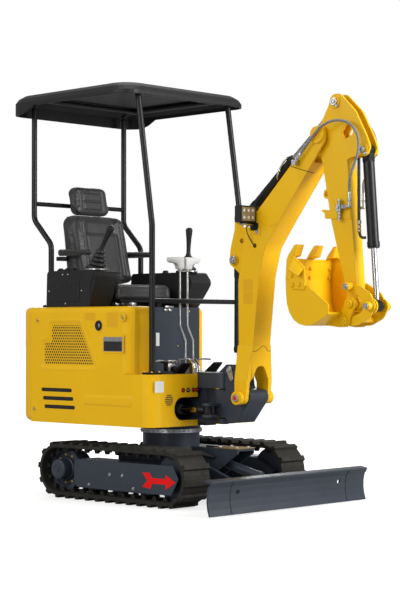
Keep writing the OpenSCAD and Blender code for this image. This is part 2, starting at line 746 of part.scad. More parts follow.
// Boom outline, from the foot up the rear edge, round the tip and down the front.
boom_path = rounded([[604, 590, 40], [612, 700, 200], [607, 1250, 200], [632, 1420, 200],
    [690, 1575, 150], [760, 1655, 200], [1020, 1906, 400], [1148, 2022, 60], [1176, 2090, 26],
    [1236, 2078, 26], [1240, 2000, 40], [1190, 1936, 60], [906, 1573, 300], [806, 1440, 200],
    [763, 1284, 200], [719, 888, 300], [702, 590, 40], [651, 552, 40]], 6);
gusset_path = rounded([[625, 1275, 0], [560, 1325, 30], [508, 1362, 30], [520, 1450, 60], [552, 1560, 60],
    [548, 1640, 36], [600, 1665, 36], [690, 1640, 60], [780, 1670, 0], [720, 1500, 0], [650, 1350, 0]], 5);
foot_path = rounded([[612, 569, 36], [606, 900, 0], [724, 900, 0], [706, 740, 100], [689, 569, 36]]);
foot_boss = 38;
module boom() color(yellow) place() {
    h = boom_width / 2;
    cheek = h + 36;
    legs = [[-h, 920], [-cheek, 700], [-cheek, 540], [cheek, 540], [cheek, 700], [h, 920]];
    arch = rounded([[-foot_in, 500, 0], [-foot_in, 690, 20], [-26, 782, 30], [26, 782, 30],
        [foot_in, 690, 20], [foot_in, 500, 0]]);
    difference() {
        union() {
            difference() {
                slab(boom_path, -h, h);
                slab(inset(boom_path, box_wall), -h + box_wall, h - box_wall);
            }
            slabs(gusset_path, gusset_in, gusset_out);
            bars_y(foot, foot_boss, foot_in, foot_out);
            intersection() {
                slab(foot_path, -cheek, cheek);
                across(legs, 580, 740);
            }
            bars_y(elbow, 46, fork_in, h + 12);
            for (c = [boom_top_pin, arm_base_pin])
                bars_y(c, 30, gusset_in, gusset_out + 10);
        }
        across(arch, 500, 900);
        bar_y(elbow, 150, -fork_in, fork_in);
        bar_y([605, 1487], 14, -200, 200);
    }
    bar_y(foot, foot_pin_r, -foot_out - 6, foot_out + 6);
    bar_y(elbow, pin_r, -h - 16, h + 16);
    for (c = [boom_top_pin, arm_base_pin])
        bar_y(c, small_pin_r, -gusset_out - 14, gusset_out + 14);
}
lamp_x = 703;
lamp_z = 1582;
module work_lamp() color(black) place() {
    y = -boom_width / 2;
    box(lamp_x, lamp_x + 42, y - 130, y - 6, lamp_z, lamp_z + 92);
    box(lamp_x + 3, lamp_x + 39, y - 95, y, lamp_z - 8, lamp_z);
    box(lamp_x, lamp_x + 57, y - 4, y, lamp_z - 42, lamp_z - 2);
}
module boom_barrel() color(black) place()
    barrel(boom_top_pin, boom_rod_pin, boom_barrel_r, 526, 32, small_pin_r, 98);
module boom_rod() color(chrome) place() ram(boom_top_pin, boom_rod_pin, 80, 28, eye_half);
module arm_barrel() color(black) place()
    barrel(arm_base_pin, arm_rod_pin, arm_barrel_r, 490, 30, small_pin_r, 130);
module arm_rod() color(chrome) place() ram(arm_base_pin, arm_rod_pin, 370, 28, eye_half);

arm_box = rounded([[1190, 1934, 60], [1260, 1571, 400], [1352, 1241, 100], [1380, 1124, 30],
    [1418, 1088, 30], [1452, 1124, 30], [1430, 1231, 60], [1405, 1530, 300], [1366, 1939, 60],
    [1290, 2060, 60], [1192, 2077, 40], [1152, 2032, 40]], 6);
arm_head = rounded([[1176, 1960, 30], [1146, 2030, 45], [1240, 2190, 60], [1262, 2252, 36],
    [1318, 2252, 36], [1424, 2150, 120], [1500, 2010, 80], [1525, 1950, 30], [1500, 1898, 36],
    [1440, 1910, 40], [1385, 1900, 40], [1300, 1840, 0], [1210, 1850, 0]], 6);
hook_path = rounded([[1235, 1760, 0], [1185, 1740, 20], [1180, 1700, 20], [1225, 1690, 20], [1260, 1700, 0]]);
head_hole = rounded([[1330, 2040, 20], [1350, 2000, 20], [1420, 2030, 20], [1370, 2100, 20]]);
module arm() color(yellow) place() {
    h = arm_width / 2;
    difference() {
        union() {
            difference() {
                slab(arm_box, -h, h);
                slab(inset(arm_box, box_wall), -h + box_wall, h - box_wall);
            }
            slabs(arm_head, gusset_in, h);
            bar_y(elbow, 40, -fork_in + side_clear, fork_in - side_clear);
            bar_y(bucket_pin, 36, -h, h);
            bar_y(bucket_pin, 25, -ear_in + side_clear, ear_in - side_clear);
            bar_y(rocker_pin, 26, -h, h);
            for (c = [arm_rod_pin, bucket_top_pin])
                bars_y(c, 34, gusset_in, h + 8);
            slab(hook_path, -10, 10);
        }
        bar_y(elbow, pin_r + pin_clear, -100, 100);
        bar_y(bucket_pin, bucket_pin_r + pin_clear, -100, 100);
        bar_y(rocker_pin, rocker_pin_r + pin_clear, -100, 100);
        bar_y([1206, 1720], 14, -20, 20);
        slab(head_hole, -100, 100);
    }
    bar_y(bucket_top_pin, small_pin_r, -h - 14, h + 14);
}
// Hose over the elbow, from the fitting on the boom to the one on the arm.
hose_r = 7;
hose_route = [[1076, -96, 1923], [1114, -96, 1962], [1152, -96, 2001], [1196, -96, 2044],
    [1240, -94, 2077], [1300, -88, 2099], [1364, -82, 2099], [1424, -78, 2075], [1463, -75, 2026],
    [1477, -74, 1973], [1472, -73, 1923], [1444, -70, 1862], [1416, -65, 1810], [1402, -60, 1766],
    [1402, -60, 1727], [1402, -60, 1688]];
pipe_r = hose_r + 1;
pipe_z = 1640;
hose_sides = 10;
// Point on a smooth curve through a, b, c and d, at t between b and c.
function spline(a, b, c, d, t) =
    0.5 * (2 * b + (c - a) * t + (2 * a - 5 * b + 4 * c - d) * t * t + (3 * b - a - 3 * c + d) * t * t * t);
function fine(p, steps) =
    let (k = len(p) - 1)
    [for (i = [0:k - 1], j = [0:steps - 1])
        spline(i == 0 ? 2 * p[0] - p[1] : p[i - 1], p[i], p[i + 1],
            i == k - 1 ? 2 * p[k] - p[k - 1] : p[i + 2], j / steps),
        p[k]];
module hose(p, r) {
    k = len(p);
    ring = [for (i = [0:k - 1])
        let (
            d = unit(p[min(i + 1, k - 1)] - p[max(i - 1, 0)]),
            u = unit(cross(d, [0, 1, 0])),
            v = cross(d, u)
        )
        each [for (j = [0:hose_sides - 1])
            p[i] + r * (u * cos(360 * j / hose_sides) + v * sin(360 * j / hose_sides))]];
    polyhedron(ring, concat(
        [[for (j = [0:hose_sides - 1]) j]],
        [for (i = [0:k - 2], j = [0:hose_sides - 1])
            let (n = (j + 1) % hose_sides, o = i * hose_sides)
            [o + j, o + hose_sides + j, o + hose_sides + n, o + n]],
        [[for (j = [hose_sides - 1:-1:0]) (k - 1) * hose_sides + j]]));
}
module hose_right() color(black) place() hose(fine(hose_route, 2), hose_r);
module hose_left() color(black) place() mirror([0, 1, 0]) hose(fine(hose_route, 2), hose_r);
module boom_fittings() color(steel) place() for (s = [0, 1]) mirror([0, s, 0]) {
    y = hose_route[0][1];
    start = [hose_route[0][0], hose_route[0][2]];
    next = [hose_route[1][0], hose_route[1][2]];
    length = 38;
    from = start - length * unit(next - start);
    translate([0, y, 0]) along(from, start) cylinder(r = hose_r + 3, h = length);
    box(from[0] - 14, from[0] + 14, y - 12, -boom_width / 2, from[1] - 14, from[1] + 14);
}
module arm_fittings() color(steel) place() for (s = [0, 1]) mirror([0, s, 0]) {
    end = hose_route[len(hose_route) - 1];
    block_x = 1333;
    translate([end[0], end[1], pipe_z]) {
        cylinder(r = pipe_r, h = end[2] - pipe_z);
        sphere(r = pipe_r + 1);
        rotate([0, -90, 0]) cylinder(r = pipe_r, h = end[0] - block_x);
    }
    box(block_x - 15, block_x + 15, end[1] - 12, -arm_width / 2, pipe_z - 24, pipe_z + 14);
    translate([block_x, end[1], pipe_z - 70]) cylinder(r = pipe_r + 0.5, h = 112);
}
module bucket_barrel() color(black) place()
    barrel(bucket_top_pin, knee, bucket_barrel_r, 522, 30, small_pin_r, 62);
module bucket_rod() color(chrome) place() ram(bucket_top_pin, knee, 330, 28, eye_half);
rocker_path = rounded([[1392, 1192, 0], [1396, 1240, 0], [1450, 1226, 60], [1534, 1178, 60],
    [1572, 1108, 0], [1514, 1096, 0], [1490, 1140, 60], [1450, 1170, 60]], 6);
module bucket_rocker() color(yellow) place() {
    slabs(rocker_path, rocker_in, rocker_out);
    bars_y(rocker_pin, 28, rocker_in, rocker_out);
    bars_y(knee, knee_r, rocker_in, rocker_out);
    bar_y(rocker_pin, rocker_pin_r, -rocker_out - 6, rocker_out + 6);
    bars_y(knee, knee_pin_r, rocker_in, link_out + 8);
}
link_path = rounded([[1570, 1100, 0], [1512, 1118, 0], [1478, 1074, 50], [1430, 1058, 60], [1384, 1060, 0],
    [1388, 1006, 0], [1460, 1010, 80], [1540, 1048, 60]], 6);
module bucket_link() color(yellow) place() difference() {
    union() {
        slabs(link_path, link_in, link_out);
        bars_y(knee, 34, link_in, link_out);
        bars_y(link_pin, 28, link_in, link_out);
        bar_y([1466, 1040], 16, -link_in - 2, link_in + 2);
    }
    bars_y(knee, knee_pin_r + pin_clear, link_in - 5, link_out + 5);
}
bucket_skin = [[1077, 1372], [1066, 1262], [1069, 1185], [1076, 1127], [1092, 1081], [1121, 1042],
    [1160, 1018], [1203, 1008], [1245, 1011], [1282, 1024], [1361, 1068]];
bucket_lip = [1127, 1381];
bucket_side = concat(bucket_skin, [[1364, 1120], [1211, 1228], [1201, 1319], bucket_lip]);
ear_path = [[1250, 1012], [1340, 1000], [1385, 1001], [1416, 1040], [1454, 1118], [1386, 1140],
    [1350, 1072], [1280, 1036]];
module bucket() color(yellow) place() {
    w = bucket_width / 2;
    inner = inset(bucket_side, bucket_plate);
    slab(concat(bucket_skin, [[1364, 1080], [1355, 1078]],
        [for (i = [len(bucket_skin) - 2:-1:1]) inner[i]], [inner[0] + [0, 6]]), -w, w);
    slabs(bucket_side, w - bucket_plate, w);
    slabs(ear_path, ear_in, ear_out);
    bars_y(bucket_pin, 38, ear_in, ear_out);
    bars_y(link_pin, 32, ear_in, ear_out);
    bar_y(bucket_pin, bucket_pin_r, -ear_out - 8, ear_out + 8);
    bars_y(link_pin, 22, ear_out - 2, ear_out + 10);
}
module bucket_teeth() color(steel) place() for (i = [0:tooth_count - 1]) {
    y = (i / (tooth_count - 1) - 0.5) * (bucket_width - tooth_width);
    slab([bucket_skin[0], bucket_lip, [1146, 1432], [1150, 1443], [1131, 1442], [1090, 1394]],
        y - tooth_width / 2, y + tooth_width / 2);
}

center_frame();
track_frame_right();
track_frame_left();
track_right();
track_left();
sprockets();
idlers();
rollers();
slew_ring();
blade_arms();
blade_board();
blade_wings();
blade_barrel();
blade_rod();
upper_frame();
right_cover();
side_grille();
left_cover();
counterweight();
floor_plate();
seat_base();
engine();
canopy_frame();
canopy_roof();
seat_frame();
seat_cushion();
seat_back();
headrest();
armrests();
consoles();
joysticks();
travel_levers();
pedals();
swing_post();
swing_barrel();
swing_rod();
boom();
work_lamp();
hose_right();
hose_left();
boom_fittings();
arm_fittings();
boom_barrel();
boom_rod();
arm_barrel();
arm_rod();
arm();
bucket_barrel();
bucket_rod();
bucket_rocker();
bucket_link();
bucket();
bucket_teeth();
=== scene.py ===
import json
import math
import bpy
import bmesh
from mathutils import Matrix, Vector


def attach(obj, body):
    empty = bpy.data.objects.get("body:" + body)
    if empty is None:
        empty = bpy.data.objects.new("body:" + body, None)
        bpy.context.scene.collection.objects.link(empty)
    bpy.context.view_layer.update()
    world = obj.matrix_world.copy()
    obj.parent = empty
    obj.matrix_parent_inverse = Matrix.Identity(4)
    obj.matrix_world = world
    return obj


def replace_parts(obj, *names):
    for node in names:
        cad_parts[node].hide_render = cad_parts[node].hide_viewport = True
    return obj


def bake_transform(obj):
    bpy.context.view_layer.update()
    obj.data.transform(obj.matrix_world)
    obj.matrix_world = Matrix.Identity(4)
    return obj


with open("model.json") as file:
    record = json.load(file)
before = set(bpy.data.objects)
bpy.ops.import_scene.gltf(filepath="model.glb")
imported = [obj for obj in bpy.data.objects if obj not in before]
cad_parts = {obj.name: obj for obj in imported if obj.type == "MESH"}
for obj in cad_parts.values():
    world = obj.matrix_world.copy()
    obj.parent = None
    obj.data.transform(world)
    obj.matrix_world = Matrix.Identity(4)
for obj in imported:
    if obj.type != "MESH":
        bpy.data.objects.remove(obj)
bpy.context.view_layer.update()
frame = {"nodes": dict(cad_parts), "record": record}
nodes = frame["nodes"]
scene = bpy.context.scene
scene.view_settings.view_transform = "Standard"

ORIGIN_X = 0.345
SIDES = ((-1, "right"), (1, "left"))
LEFT, RIGHT = Vector((0, 1, 0)), Vector((0, -1, 0))
FRONT, TOP = Vector((1, 0, 0)), Vector((0, 0, 1))


def at(x, y, z):
    """A point given from the slewing axis, in the shared frame."""
    return Vector((x - ORIGIN_X, y, z))


# camera, at the photograph's angle
camera_data = bpy.data.cameras.new("camera")
camera = bpy.data.objects.new("camera", camera_data)
scene.collection.objects.link(camera)
camera.location = at(6.973, -6.892, 1.0)
camera.rotation_euler = (math.radians(90.941), 0, math.radians(44.344))
camera_data.sensor_width = 36
camera_data.lens = 99.5
camera_data.clip_end = 200
scene.camera = camera


def new_material(name):
    """A material for a slot, with its node tree, its shader and its object coordinates."""
    material = bpy.data.materials.new(name)
    material.use_nodes = True
    tree = material.node_tree
    coord = tree.nodes.new("ShaderNodeTexCoord").outputs["Object"]
    return material, tree, tree.nodes["Principled BSDF"], coord


def put(tree, node, inputs):
    """Sets a node's inputs: a socket is linked, anything else is a value."""
    for key, value in inputs.items():
        if isinstance(value, bpy.types.NodeSocket):
            tree.links.new(value, node.inputs[key])
        else:
            node.inputs[key].default_value = value
    return node


def add(tree, kind, inputs):
    return put(tree, tree.nodes.new("ShaderNode" + kind), inputs)


def noise(tree, coord, scale, detail=4.0):
    return add(tree, "TexNoise", {"Scale": scale, "Detail": detail, "Roughness": 0.55,
        "Vector": coord}).outputs["Fac"]


def spread(tree, value, low, high):
    inputs = {"From Min": 0.3, "From Max": 0.7, "To Min": low, "To Max": high, "Value": value}
    return add(tree, "MapRange", inputs).outputs["Result"]


def tint(tree, shader, value, colour, low, high):
    """Colours the surface from low to high times the colour, along the value."""
    ramp = add(tree, "ValToRGB", {"Fac": value})
    for stop, place, shade in zip(ramp.color_ramp.elements, (0.32, 0.68), (low, high)):
        stop.position = place
        stop.color = (*(min(1.0, c * shade) for c in colour), 1)
    put(tree, shader, {"Base Color": ramp.outputs["Color"]})


def bumped(tree, shader, heights, edge):
    """Rounded edges and fine relief; heights is a list of (height, strength, distance)."""
    before = {}
    if edge > 0:
        bevel = add(tree, "Bevel", {"Radius": edge})
        bevel.samples = 6
        before = {"Normal": bevel.outputs["Normal"]}
    for height, strength, distance in heights:
        bump = add(tree, "Bump", {"Strength": strength, "Distance": distance, "Height": height, **before})
        before = {"Normal": bump.outputs["Normal"]}
    put(tree, shader, before)


def surface(name, colour, rough, metal=0.0, vary=0.08, patch=5.0, grain=300.0, relief=0.05,
        depth=0.0004, coat=0.0, edge=0.0, rough_vary=0.06, specular=0.5):
    material, tree, shader, coord = new_material(name)
    tint(tree, shader, noise(tree, coord, patch), colour, 1 - vary, 1 + vary)
    rough_map = spread(tree, noise(tree, coord, patch * 6, 6), max(0.02, rough - rough_vary),
        rough + rough_vary)
    put(tree, shader, {"Roughness": rough_map, "Metallic": metal, "Coat Weight": coat,
        "Coat Roughness": 0.12, "Specular IOR Level": specular})
    material.diffuse_color = (*colour, 1)
    bumped(tree, shader, [(noise(tree, coord, grain, 3), relief, depth)], edge)
    return material


def braided(name, colour, scale, relief):
    """Woven wire on a hose."""
    material, tree, shader, coord = new_material(name)
    wave = add(tree, "TexWave", {"Scale": scale, "Distortion": 0.4, "Vector": coord})
    wave.bands_direction = "DIAGONAL"
    tint(tree, shader, wave.outputs["Fac"], colour, 0.7, 1.25)
    put(tree, shader, {"Roughness": 0.5, "Metallic": 0.15})
    bumped(tree, shader, [(wave.outputs["Fac"], relief, 0.001)], 0)
    return material


def leather(name, colour):
    """Vinyl with a pebbled grain and soft creases."""
    material, tree, shader, coord = new_material(name)
    cells = add(tree, "TexVoronoi", {"Scale": 420, "Vector": coord})
    tint(tree, shader, noise(tree, coord, 9), colour, 0.85, 1.2)
    put(tree, shader, {"Roughness": spread(tree, noise(tree, coord, 60, 5), 0.4, 0.54),
        "Sheen Weight": 0.08})
    bumped(tree, shader, [(noise(tree, coord, 24), 0.12, 0.002), (cells.outputs["Distance"], 0.25, 0.0006)],
        0)
    return material


def tread(name, colour):
    """Moulded rubber, dusty in patches."""
    material, tree, shader, coord = new_material(name)
    tint(tree, shader, noise(tree, coord, 14, 8), colour, 0.7, 1.5)
    put(tree, shader, {"Roughness": spread(tree, noise(tree, coord, 45, 5), 0.62, 0.85),
        "Specular IOR Level": 0.3})
    bumped(tree, shader, [(noise(tree, coord, 90, 6), 0.35, 0.002),
        (noise(tree, coord, 500, 3), 0.2, 0.0006)], 0.004)
    return material


YELLOW = surface("yellow_paint", (0.8, 0.455, 0.003), 0.36, vary=0.035, patch=3, grain=260,
    relief=0.035, coat=0.14, edge=0.0045, specular=0.18)
SLATE = surface("slate_paint", (0.033, 0.041, 0.055), 0.4, vary=0.1, grain=320, coat=0.03,
    edge=0.004, specular=0.28)
BLACK_METAL = surface("black_metal", (0.009, 0.009, 0.0093), 0.32, vary=0.15, grain=500,
    edge=0.003, specular=0.26)
BLACK_PLASTIC = surface("black_plastic", (0.0135, 0.0135, 0.014), 0.44, vary=0.15,
    grain=900, relief=0.22, depth=0.0005, edge=0.006, specular=0.24)
RUBBER = tread("rubber", (0.014, 0.013, 0.01))
CHROME = surface("chrome", (0.4, 0.4, 0.415), 0.2, metal=1, vary=0.03, patch=20, grain=700,
    relief=0.01, rough_vary=0.04, edge=0.0015)
ZINC = surface("zinc_plate", (0.5, 0.5, 0.49), 0.3, metal=1, vary=0.12, patch=60, grain=900,
    edge=0.0008)
GOLD = surface("gold_zinc", (0.72, 0.5, 0.16), 0.34, metal=1, vary=0.15, patch=60, grain=900,
    edge=0.0008)
STEEL = surface("steel", (0.4, 0.41, 0.42), 0.36, metal=1, vary=0.15, patch=12, grain=600,
    relief=0.06, edge=0.003)
CAST = surface("cast_iron", (0.1, 0.105, 0.11), 0.55, metal=0.6, vary=0.2, patch=10, grain=220,
    relief=0.25, edge=0.003)
VINYL = leather("vinyl", (0.0185, 0.0185, 0.019))
HOSE_GREY = braided("grey_braid", (0.2, 0.205, 0.215), 230, 0.5)
HOSE_BLACK = surface("hose_rubber", (0.013, 0.013, 0.013), 0.45, vary=0.2, grain=400, relief=0.12)
SPIRAL = surface("spiral_wrap", (0.016, 0.016, 0.017), 0.38, vary=0.2, grain=500, relief=0.1)
PALE = surface("pale_plastic", (0.6, 0.6, 0.58), 0.42, vary=0.04, grain=700, relief=0.1,
    edge=0.003)
RED = surface("red_paint", (0.74, 0.006, 0.007), 0.45, vary=0.05, grain=400, relief=0.04,
    specular=0.15)
TAN = surface("bronze_paint", (0.2, 0.135, 0.062), 0.4, vary=0.12, grain=320, relief=0.06,
    edge=0.002)
LABEL = surface("blank_label", (0.78, 0.78, 0.76), 0.36, vary=0.03, grain=900, relief=0.03)
AMBER_LABEL = surface("amber_label", (0.7, 0.372, 0.008), 0.4, vary=0.04, grain=900, relief=0.03,
    specular=0.22)
# A near-black: painted shade on the sheet behind the grille and in the horn vent's slots, and the own dark
# colour of the name plate field and the wing seams.
DARK = surface("painted_shade_and_dark_paint", (0.006, 0.006, 0.007), 0.7, vary=0.3, grain=200, relief=0.3)
LENS = surface("lamp_lens", (0.3, 0.26, 0.17), 0.14, vary=0.1, patch=40, grain=120,
    relief=0.06, coat=0.6)
LED = surface("lamp_led", (0.85, 0.8, 0.76), 0.1, vary=0.05, patch=90, coat=0.6)
SEAM = surface("dark_seam", (0.05, 0.026, 0.006), 0.6, vary=0.2, grain=700, relief=0.2)

BY_SLOT = {"yellow": YELLOW, "slate": SLATE, "black_metal": BLACK_METAL, "black_plastic": BLACK_PLASTIC,
    "rubber": RUBBER, "chrome": CHROME, "steel": STEEL, "cast": CAST, "vinyl": VINYL}
BY_NODE = {"blade_barrel": SLATE, "travel_levers": ZINC, "seat_frame": BLACK_METAL, "slew_ring": STEEL,
    "engine": CAST, "bucket_teeth": YELLOW, "joysticks": BLACK_PLASTIC}
for part in frame["record"]["subparts"]:
    painted = nodes[part["node"]].data.materials
    painted.clear()
    painted.append(BY_NODE.get(part["node"], BY_SLOT[part["material_slot"]]))


# shapes
def piece(name, bm, body, material, smooth=40):
    """Turns a bmesh into a piece that rides on a body."""
    bmesh.ops.remove_doubles(bm, verts=bm.verts, dist=1e-6)
    bmesh.ops.recalc_face_normals(bm, faces=bm.faces)
    mesh = bpy.data.meshes.new(name)
    bm.to_mesh(mesh)
    bm.free()
    mesh.materials.append(material)
    for polygon in mesh.polygons:
        polygon.use_smooth = True
    mesh.set_sharp_from_angle(angle=math.radians(smooth))
    made = bpy.data.objects.new(name, mesh)
    scene.collection.objects.link(made)
    if body:
        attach(made, body)
    return made


def frame_on(origin, normal):
    """A matrix whose Z is normal, at origin."""
    z = Vector(normal).normalized()
    x = TOP.cross(z)
    if x.length < 1e-4:
        x = FRONT.cross(z)
    x.normalize()
    return Matrix.Translation(origin) @ Matrix((x, z.cross(x), z)).transposed().to_4x4()


def bridge(bm, rings, first=False, last=False):
    """Joins closed rings of points in turn, and closes the first and the last if asked."""
    for a, b in zip(rings, rings[1:]):
        for i in range(len(a)):
            j = (i + 1) % len(a)
            bm.faces.new((a[i], a[j], b[j], b[i]))
    if first:
        bm.faces.new(rings[0][::-1])
    if last:
        bm.faces.new(rings[-1])


def lathe(bm, matrix, profile, sides=24):
    """Turns (radius, height) points about Z; a radius of 0 closes an end."""
    turns = [2 * math.pi * i / sides for i in range(sides)]
    rings = []
    for r, h in profile:
        spots = [(r * math.cos(a), r * math.sin(a)) for a in turns] if r else [(0, 0)]
        rings.append([bm.verts.new(matrix @ Vector((x, y, h))) for x, y in spots])
    for a, b in zip(rings, rings[1:]):
        for i in range(sides):
            j = (i + 1) % sides
            corners = (a[i % len(a)], a[j % len(a)], b[j % len(b)], b[i % len(b)])
            bm.faces.new(list(dict.fromkeys(corners)))


def block(bm, low, high, radius=0.004, steps=3, matrix=None):
    """A box with rounded edges."""
    made = bmesh.ops.create_cube(bm, size=1.0)["verts"]
    low, high = Vector(low), Vector(high)
    for v in made:
        v.co = Vector((low[k] + (v.co[k] + 0.5) * (high[k] - low[k]) for k in range(3)))
    edges = list({e for v in made for e in v.link_edges})
    out = bmesh.ops.bevel(bm, geom=edges, offset=radius, segments=steps, profile=0.5, affect="EDGES")
    if matrix:
        moved = {v for f in out["faces"] for v in f.verts} | {v for v in made if v.is_valid}
        bmesh.ops.transform(bm, matrix=matrix, verts=list(moved))


def prism(bm, outline, matrix, depth, chamfer=0.0):
    """A plate with an outline in the matrix's X-Y plane, from 0 to depth, its top edge chamfered."""
    count = len(outline)
    middle = Vector((sum(p[0] for p in outline) / count, sum(p[1] for p in outline) / count))
    rows = [(0.0, 0.0), (depth - chamfer, 0.0)] + ([(depth, chamfer)] if chamfer else [])
    rings = []
    for h, pull in rows:
        drawn = [Vector(p) + (middle - Vector(p)).normalized() * pull for p in outline]
        rings.append([bm.verts.new(matrix @ Vector((*p, h))) for p in drawn])
    bridge(bm, rings, True, True)


def rounded_outline(points, radius, steps=5):
    made = []
    count = len(points)
    for i in range(count):
        a, b, c = (Vector(points[(i + k) % count]) for k in (-1, 0, 1))
        u, v = (a - b).normalized(), (c - b).normalized()
        half = math.acos(max(-1, min(1, u.dot(v)))) / 2
        r = min(radius, 0.45 * min((a - b).length, (c - b).length) * math.tan(half))
        start, end = b + u * r / math.tan(half), b + v * r / math.tan(half)
        for k in range(steps + 1):
            t = k / steps
            made.append(start * (1 - t) ** 2 + b * 2 * t * (1 - t) + end * t ** 2)
    return made


def oblong(a0, b0, a1, b1, radius):
    return rounded_outline([(a0, b0), (a1, b0), (a1, b1), (a0, b1)], radius)


def drawn_in(outline, middle, half, pull):
    """The outline about middle, with pull taken off its half width and half height."""
    return [[m + (c - m) * (1 - pull / h) for c, m, h in zip(p, middle, half)] for p in outline]


def smooth_path(points, steps=6):
    """A Catmull-Rom curve through the points."""
    pts = [Vector(p) for p in points]
    ends = [pts[0] * 2 - pts[1]] + pts + [pts[-1] * 2 - pts[-2]]
    made = []
    for i in range(1, len(ends) - 2):
        a, b, c, d = ends[i - 1:i + 3]
        for k in range(steps):
            t = k / steps
            made.append(0.5 * (b * 2 + (c - a) * t + (a * 2 - b * 5 + c * 4 - d) * t * t
                               + (b * 3 - a - c * 3 + d) * t ** 3))
    made.append(pts[-1])
    return made


def sweep(bm, path, radius, sides=12, wrap=None):
    """A tube along a path; wrap is (turns per metre, depth) for a spiral groove."""
    normal = None
    rings = []
    run = 0.0
    for i, p in enumerate(path):
        tangent = (path[min(i + 1, len(path) - 1)] - path[max(i - 1, 0)]).normalized()
        if normal is None:
            normal = tangent.orthogonal().normalized()
        normal = (normal - tangent * normal.dot(tangent)).normalized()
        side = tangent.cross(normal)
        if i:
            run += (p - path[i - 1]).length
        ring = []
        for k in range(sides):
            a = 2 * math.pi * k / sides
            r = radius
            if wrap:
                r -= wrap[1] * (0.5 - 0.5 * math.cos(a - 2 * math.pi * wrap[0] * run)) ** 3
            ring.append(bm.verts.new(p + normal * r * math.cos(a) + side * r * math.sin(a)))
        rings.append(ring)
    bridge(bm, rings, True, True)


def nut(bm, point, direction, r, length):
    """A hexagon nut with chamfered ends, its middle at point."""
    m = frame_on(Vector(point) - Vector(direction).normalized() * length / 2, direction)
    lathe(bm, m, [(0, 0), (r * 0.86, 0), (r, length * 0.12), (r, length * 0.88), (r * 0.86, length),
        (0, length)], 6)


# whole pieces, with their points given from the slewing axis
SUNK = -0.001


def turned(name, turns, body, material, smooth=40):
    """A piece of turned shapes; each is (point, axis, profile, sides)."""
    bm = bmesh.new()
    for point, axis, profile, sides in turns:
        lathe(bm, frame_on(at(*point), axis), profile, sides)
    return piece(name, bm, body, material, smooth)


def tubes(name, paths, radius, body, material, sides=12, steps=6, wrap=None):
    """A piece of tubes along smooth curves."""
    bm = bmesh.new()
    for path in paths:
        sweep(bm, smooth_path([at(*p) for p in path], steps), radius, sides, wrap)
    return piece(name, bm, body, material, 60)


def blocks(name, boxes, radius, steps, body, material, smooth=40):
    """A piece of boxes with rounded edges; each is (low corner, high corner)."""
    bm = bmesh.new()
    for low, high in boxes:
        block(bm, at(*low), at(*high), radius, steps)
    return piece(name, bm, body, material, smooth)


def bolts(name, places, normal, body, material, r, h):
    """Hexagon screws with washers."""
    foot = h * 0.26
    ring = [(r * math.cos(math.pi / 3 * i), r * math.sin(math.pi / 3 * i)) for i in range(6)]
    bm = bmesh.new()
    for place in places:
        m = frame_on(at(*place), normal)
        lathe(bm, m, [(0, SUNK), (r * 1.35, SUNK), (r * 1.35, h * 0.18), (r * 1.25, foot), (0, foot)], 20)
        prism(bm, ring, m @ Matrix.Translation((0, 0, foot)), h * 0.74, r * 0.14)
    return piece(name, bm, body, material, 30)


def caps(name, places, normal, body, material, r, h):
    """Pin ends: a stepped disc with a bolt in its middle."""
    profile = [(0, SUNK), (r, SUNK), (r, h * 0.7), (r * 0.9, h), (r * 0.62, h), (r * 0.58, h * 0.75),
        (r * 0.42, h * 0.75), (r * 0.42, h * 1.25), (r * 0.34, h * 1.4), (0, h * 1.4)]
    return turned(name, [(place, normal, profile, 28) for place in places], body, material, 30)


def stud(r, h):
    """The profile of a small domed cap or nipple on a collar."""
    return [(0, SUNK), (r, SUNK), (r, h * 0.35), (r * 0.8, h * 0.45), (r * 0.78, h * 0.75), (r * 0.5, h),
        (0, h)]


def studs(name, places, normal, body, material, r, h):
    return turned(name, [(place, normal, stud(r, h), 16) for place in places], body, material, 50)


def both(make, name, places, *rest):
    """The same fitting on both sides, facing outwards, with the places given for the left."""
    for side, word in SIDES:
        make(name + word, [(x, side * y, z) for x, y, z in places], Vector((0, side, 0)), *rest)


def wall(y, out=-1):
    """A matrix on a side wall: its X and Y are the frame's X and Z, and its Z points out."""
    return (Matrix.Translation((-ORIGIN_X, y, 0)) @ Matrix.Rotation(math.radians(90), 4, "X")
            @ Matrix.Scale(-out, 4, (0, 0, 1)))


def side_plate(name, outline, y, thick, body, material, chamfer, out=-1):
    """A plate on a side wall, with its outline in X and Z."""
    bm = bmesh.new()
    prism(bm, outline, wall(y, out), thick, chamfer)
    return piece(name, bm, body, material, 30)


def side_plates(name, outline, y, *rest):
    """The same plate on both side walls."""
    for side, word in SIDES:
        side_plate(name + word, outline, side * y, *rest, side)


def front_label(name, outline, x):
    """A blank label on a wall across X that faces forwards, with its outline in Y and Z."""
    bm = bmesh.new()
    m = Matrix(((0, 0, 1, x - 0.0005 - ORIGIN_X), (1, 0, 0, 0), (0, 1, 0, 0), (0, 0, 0, 1)))
    prism(bm, outline, m, 0.0011, 0.0002)
    return piece(name, bm, "upper", LABEL, 30)


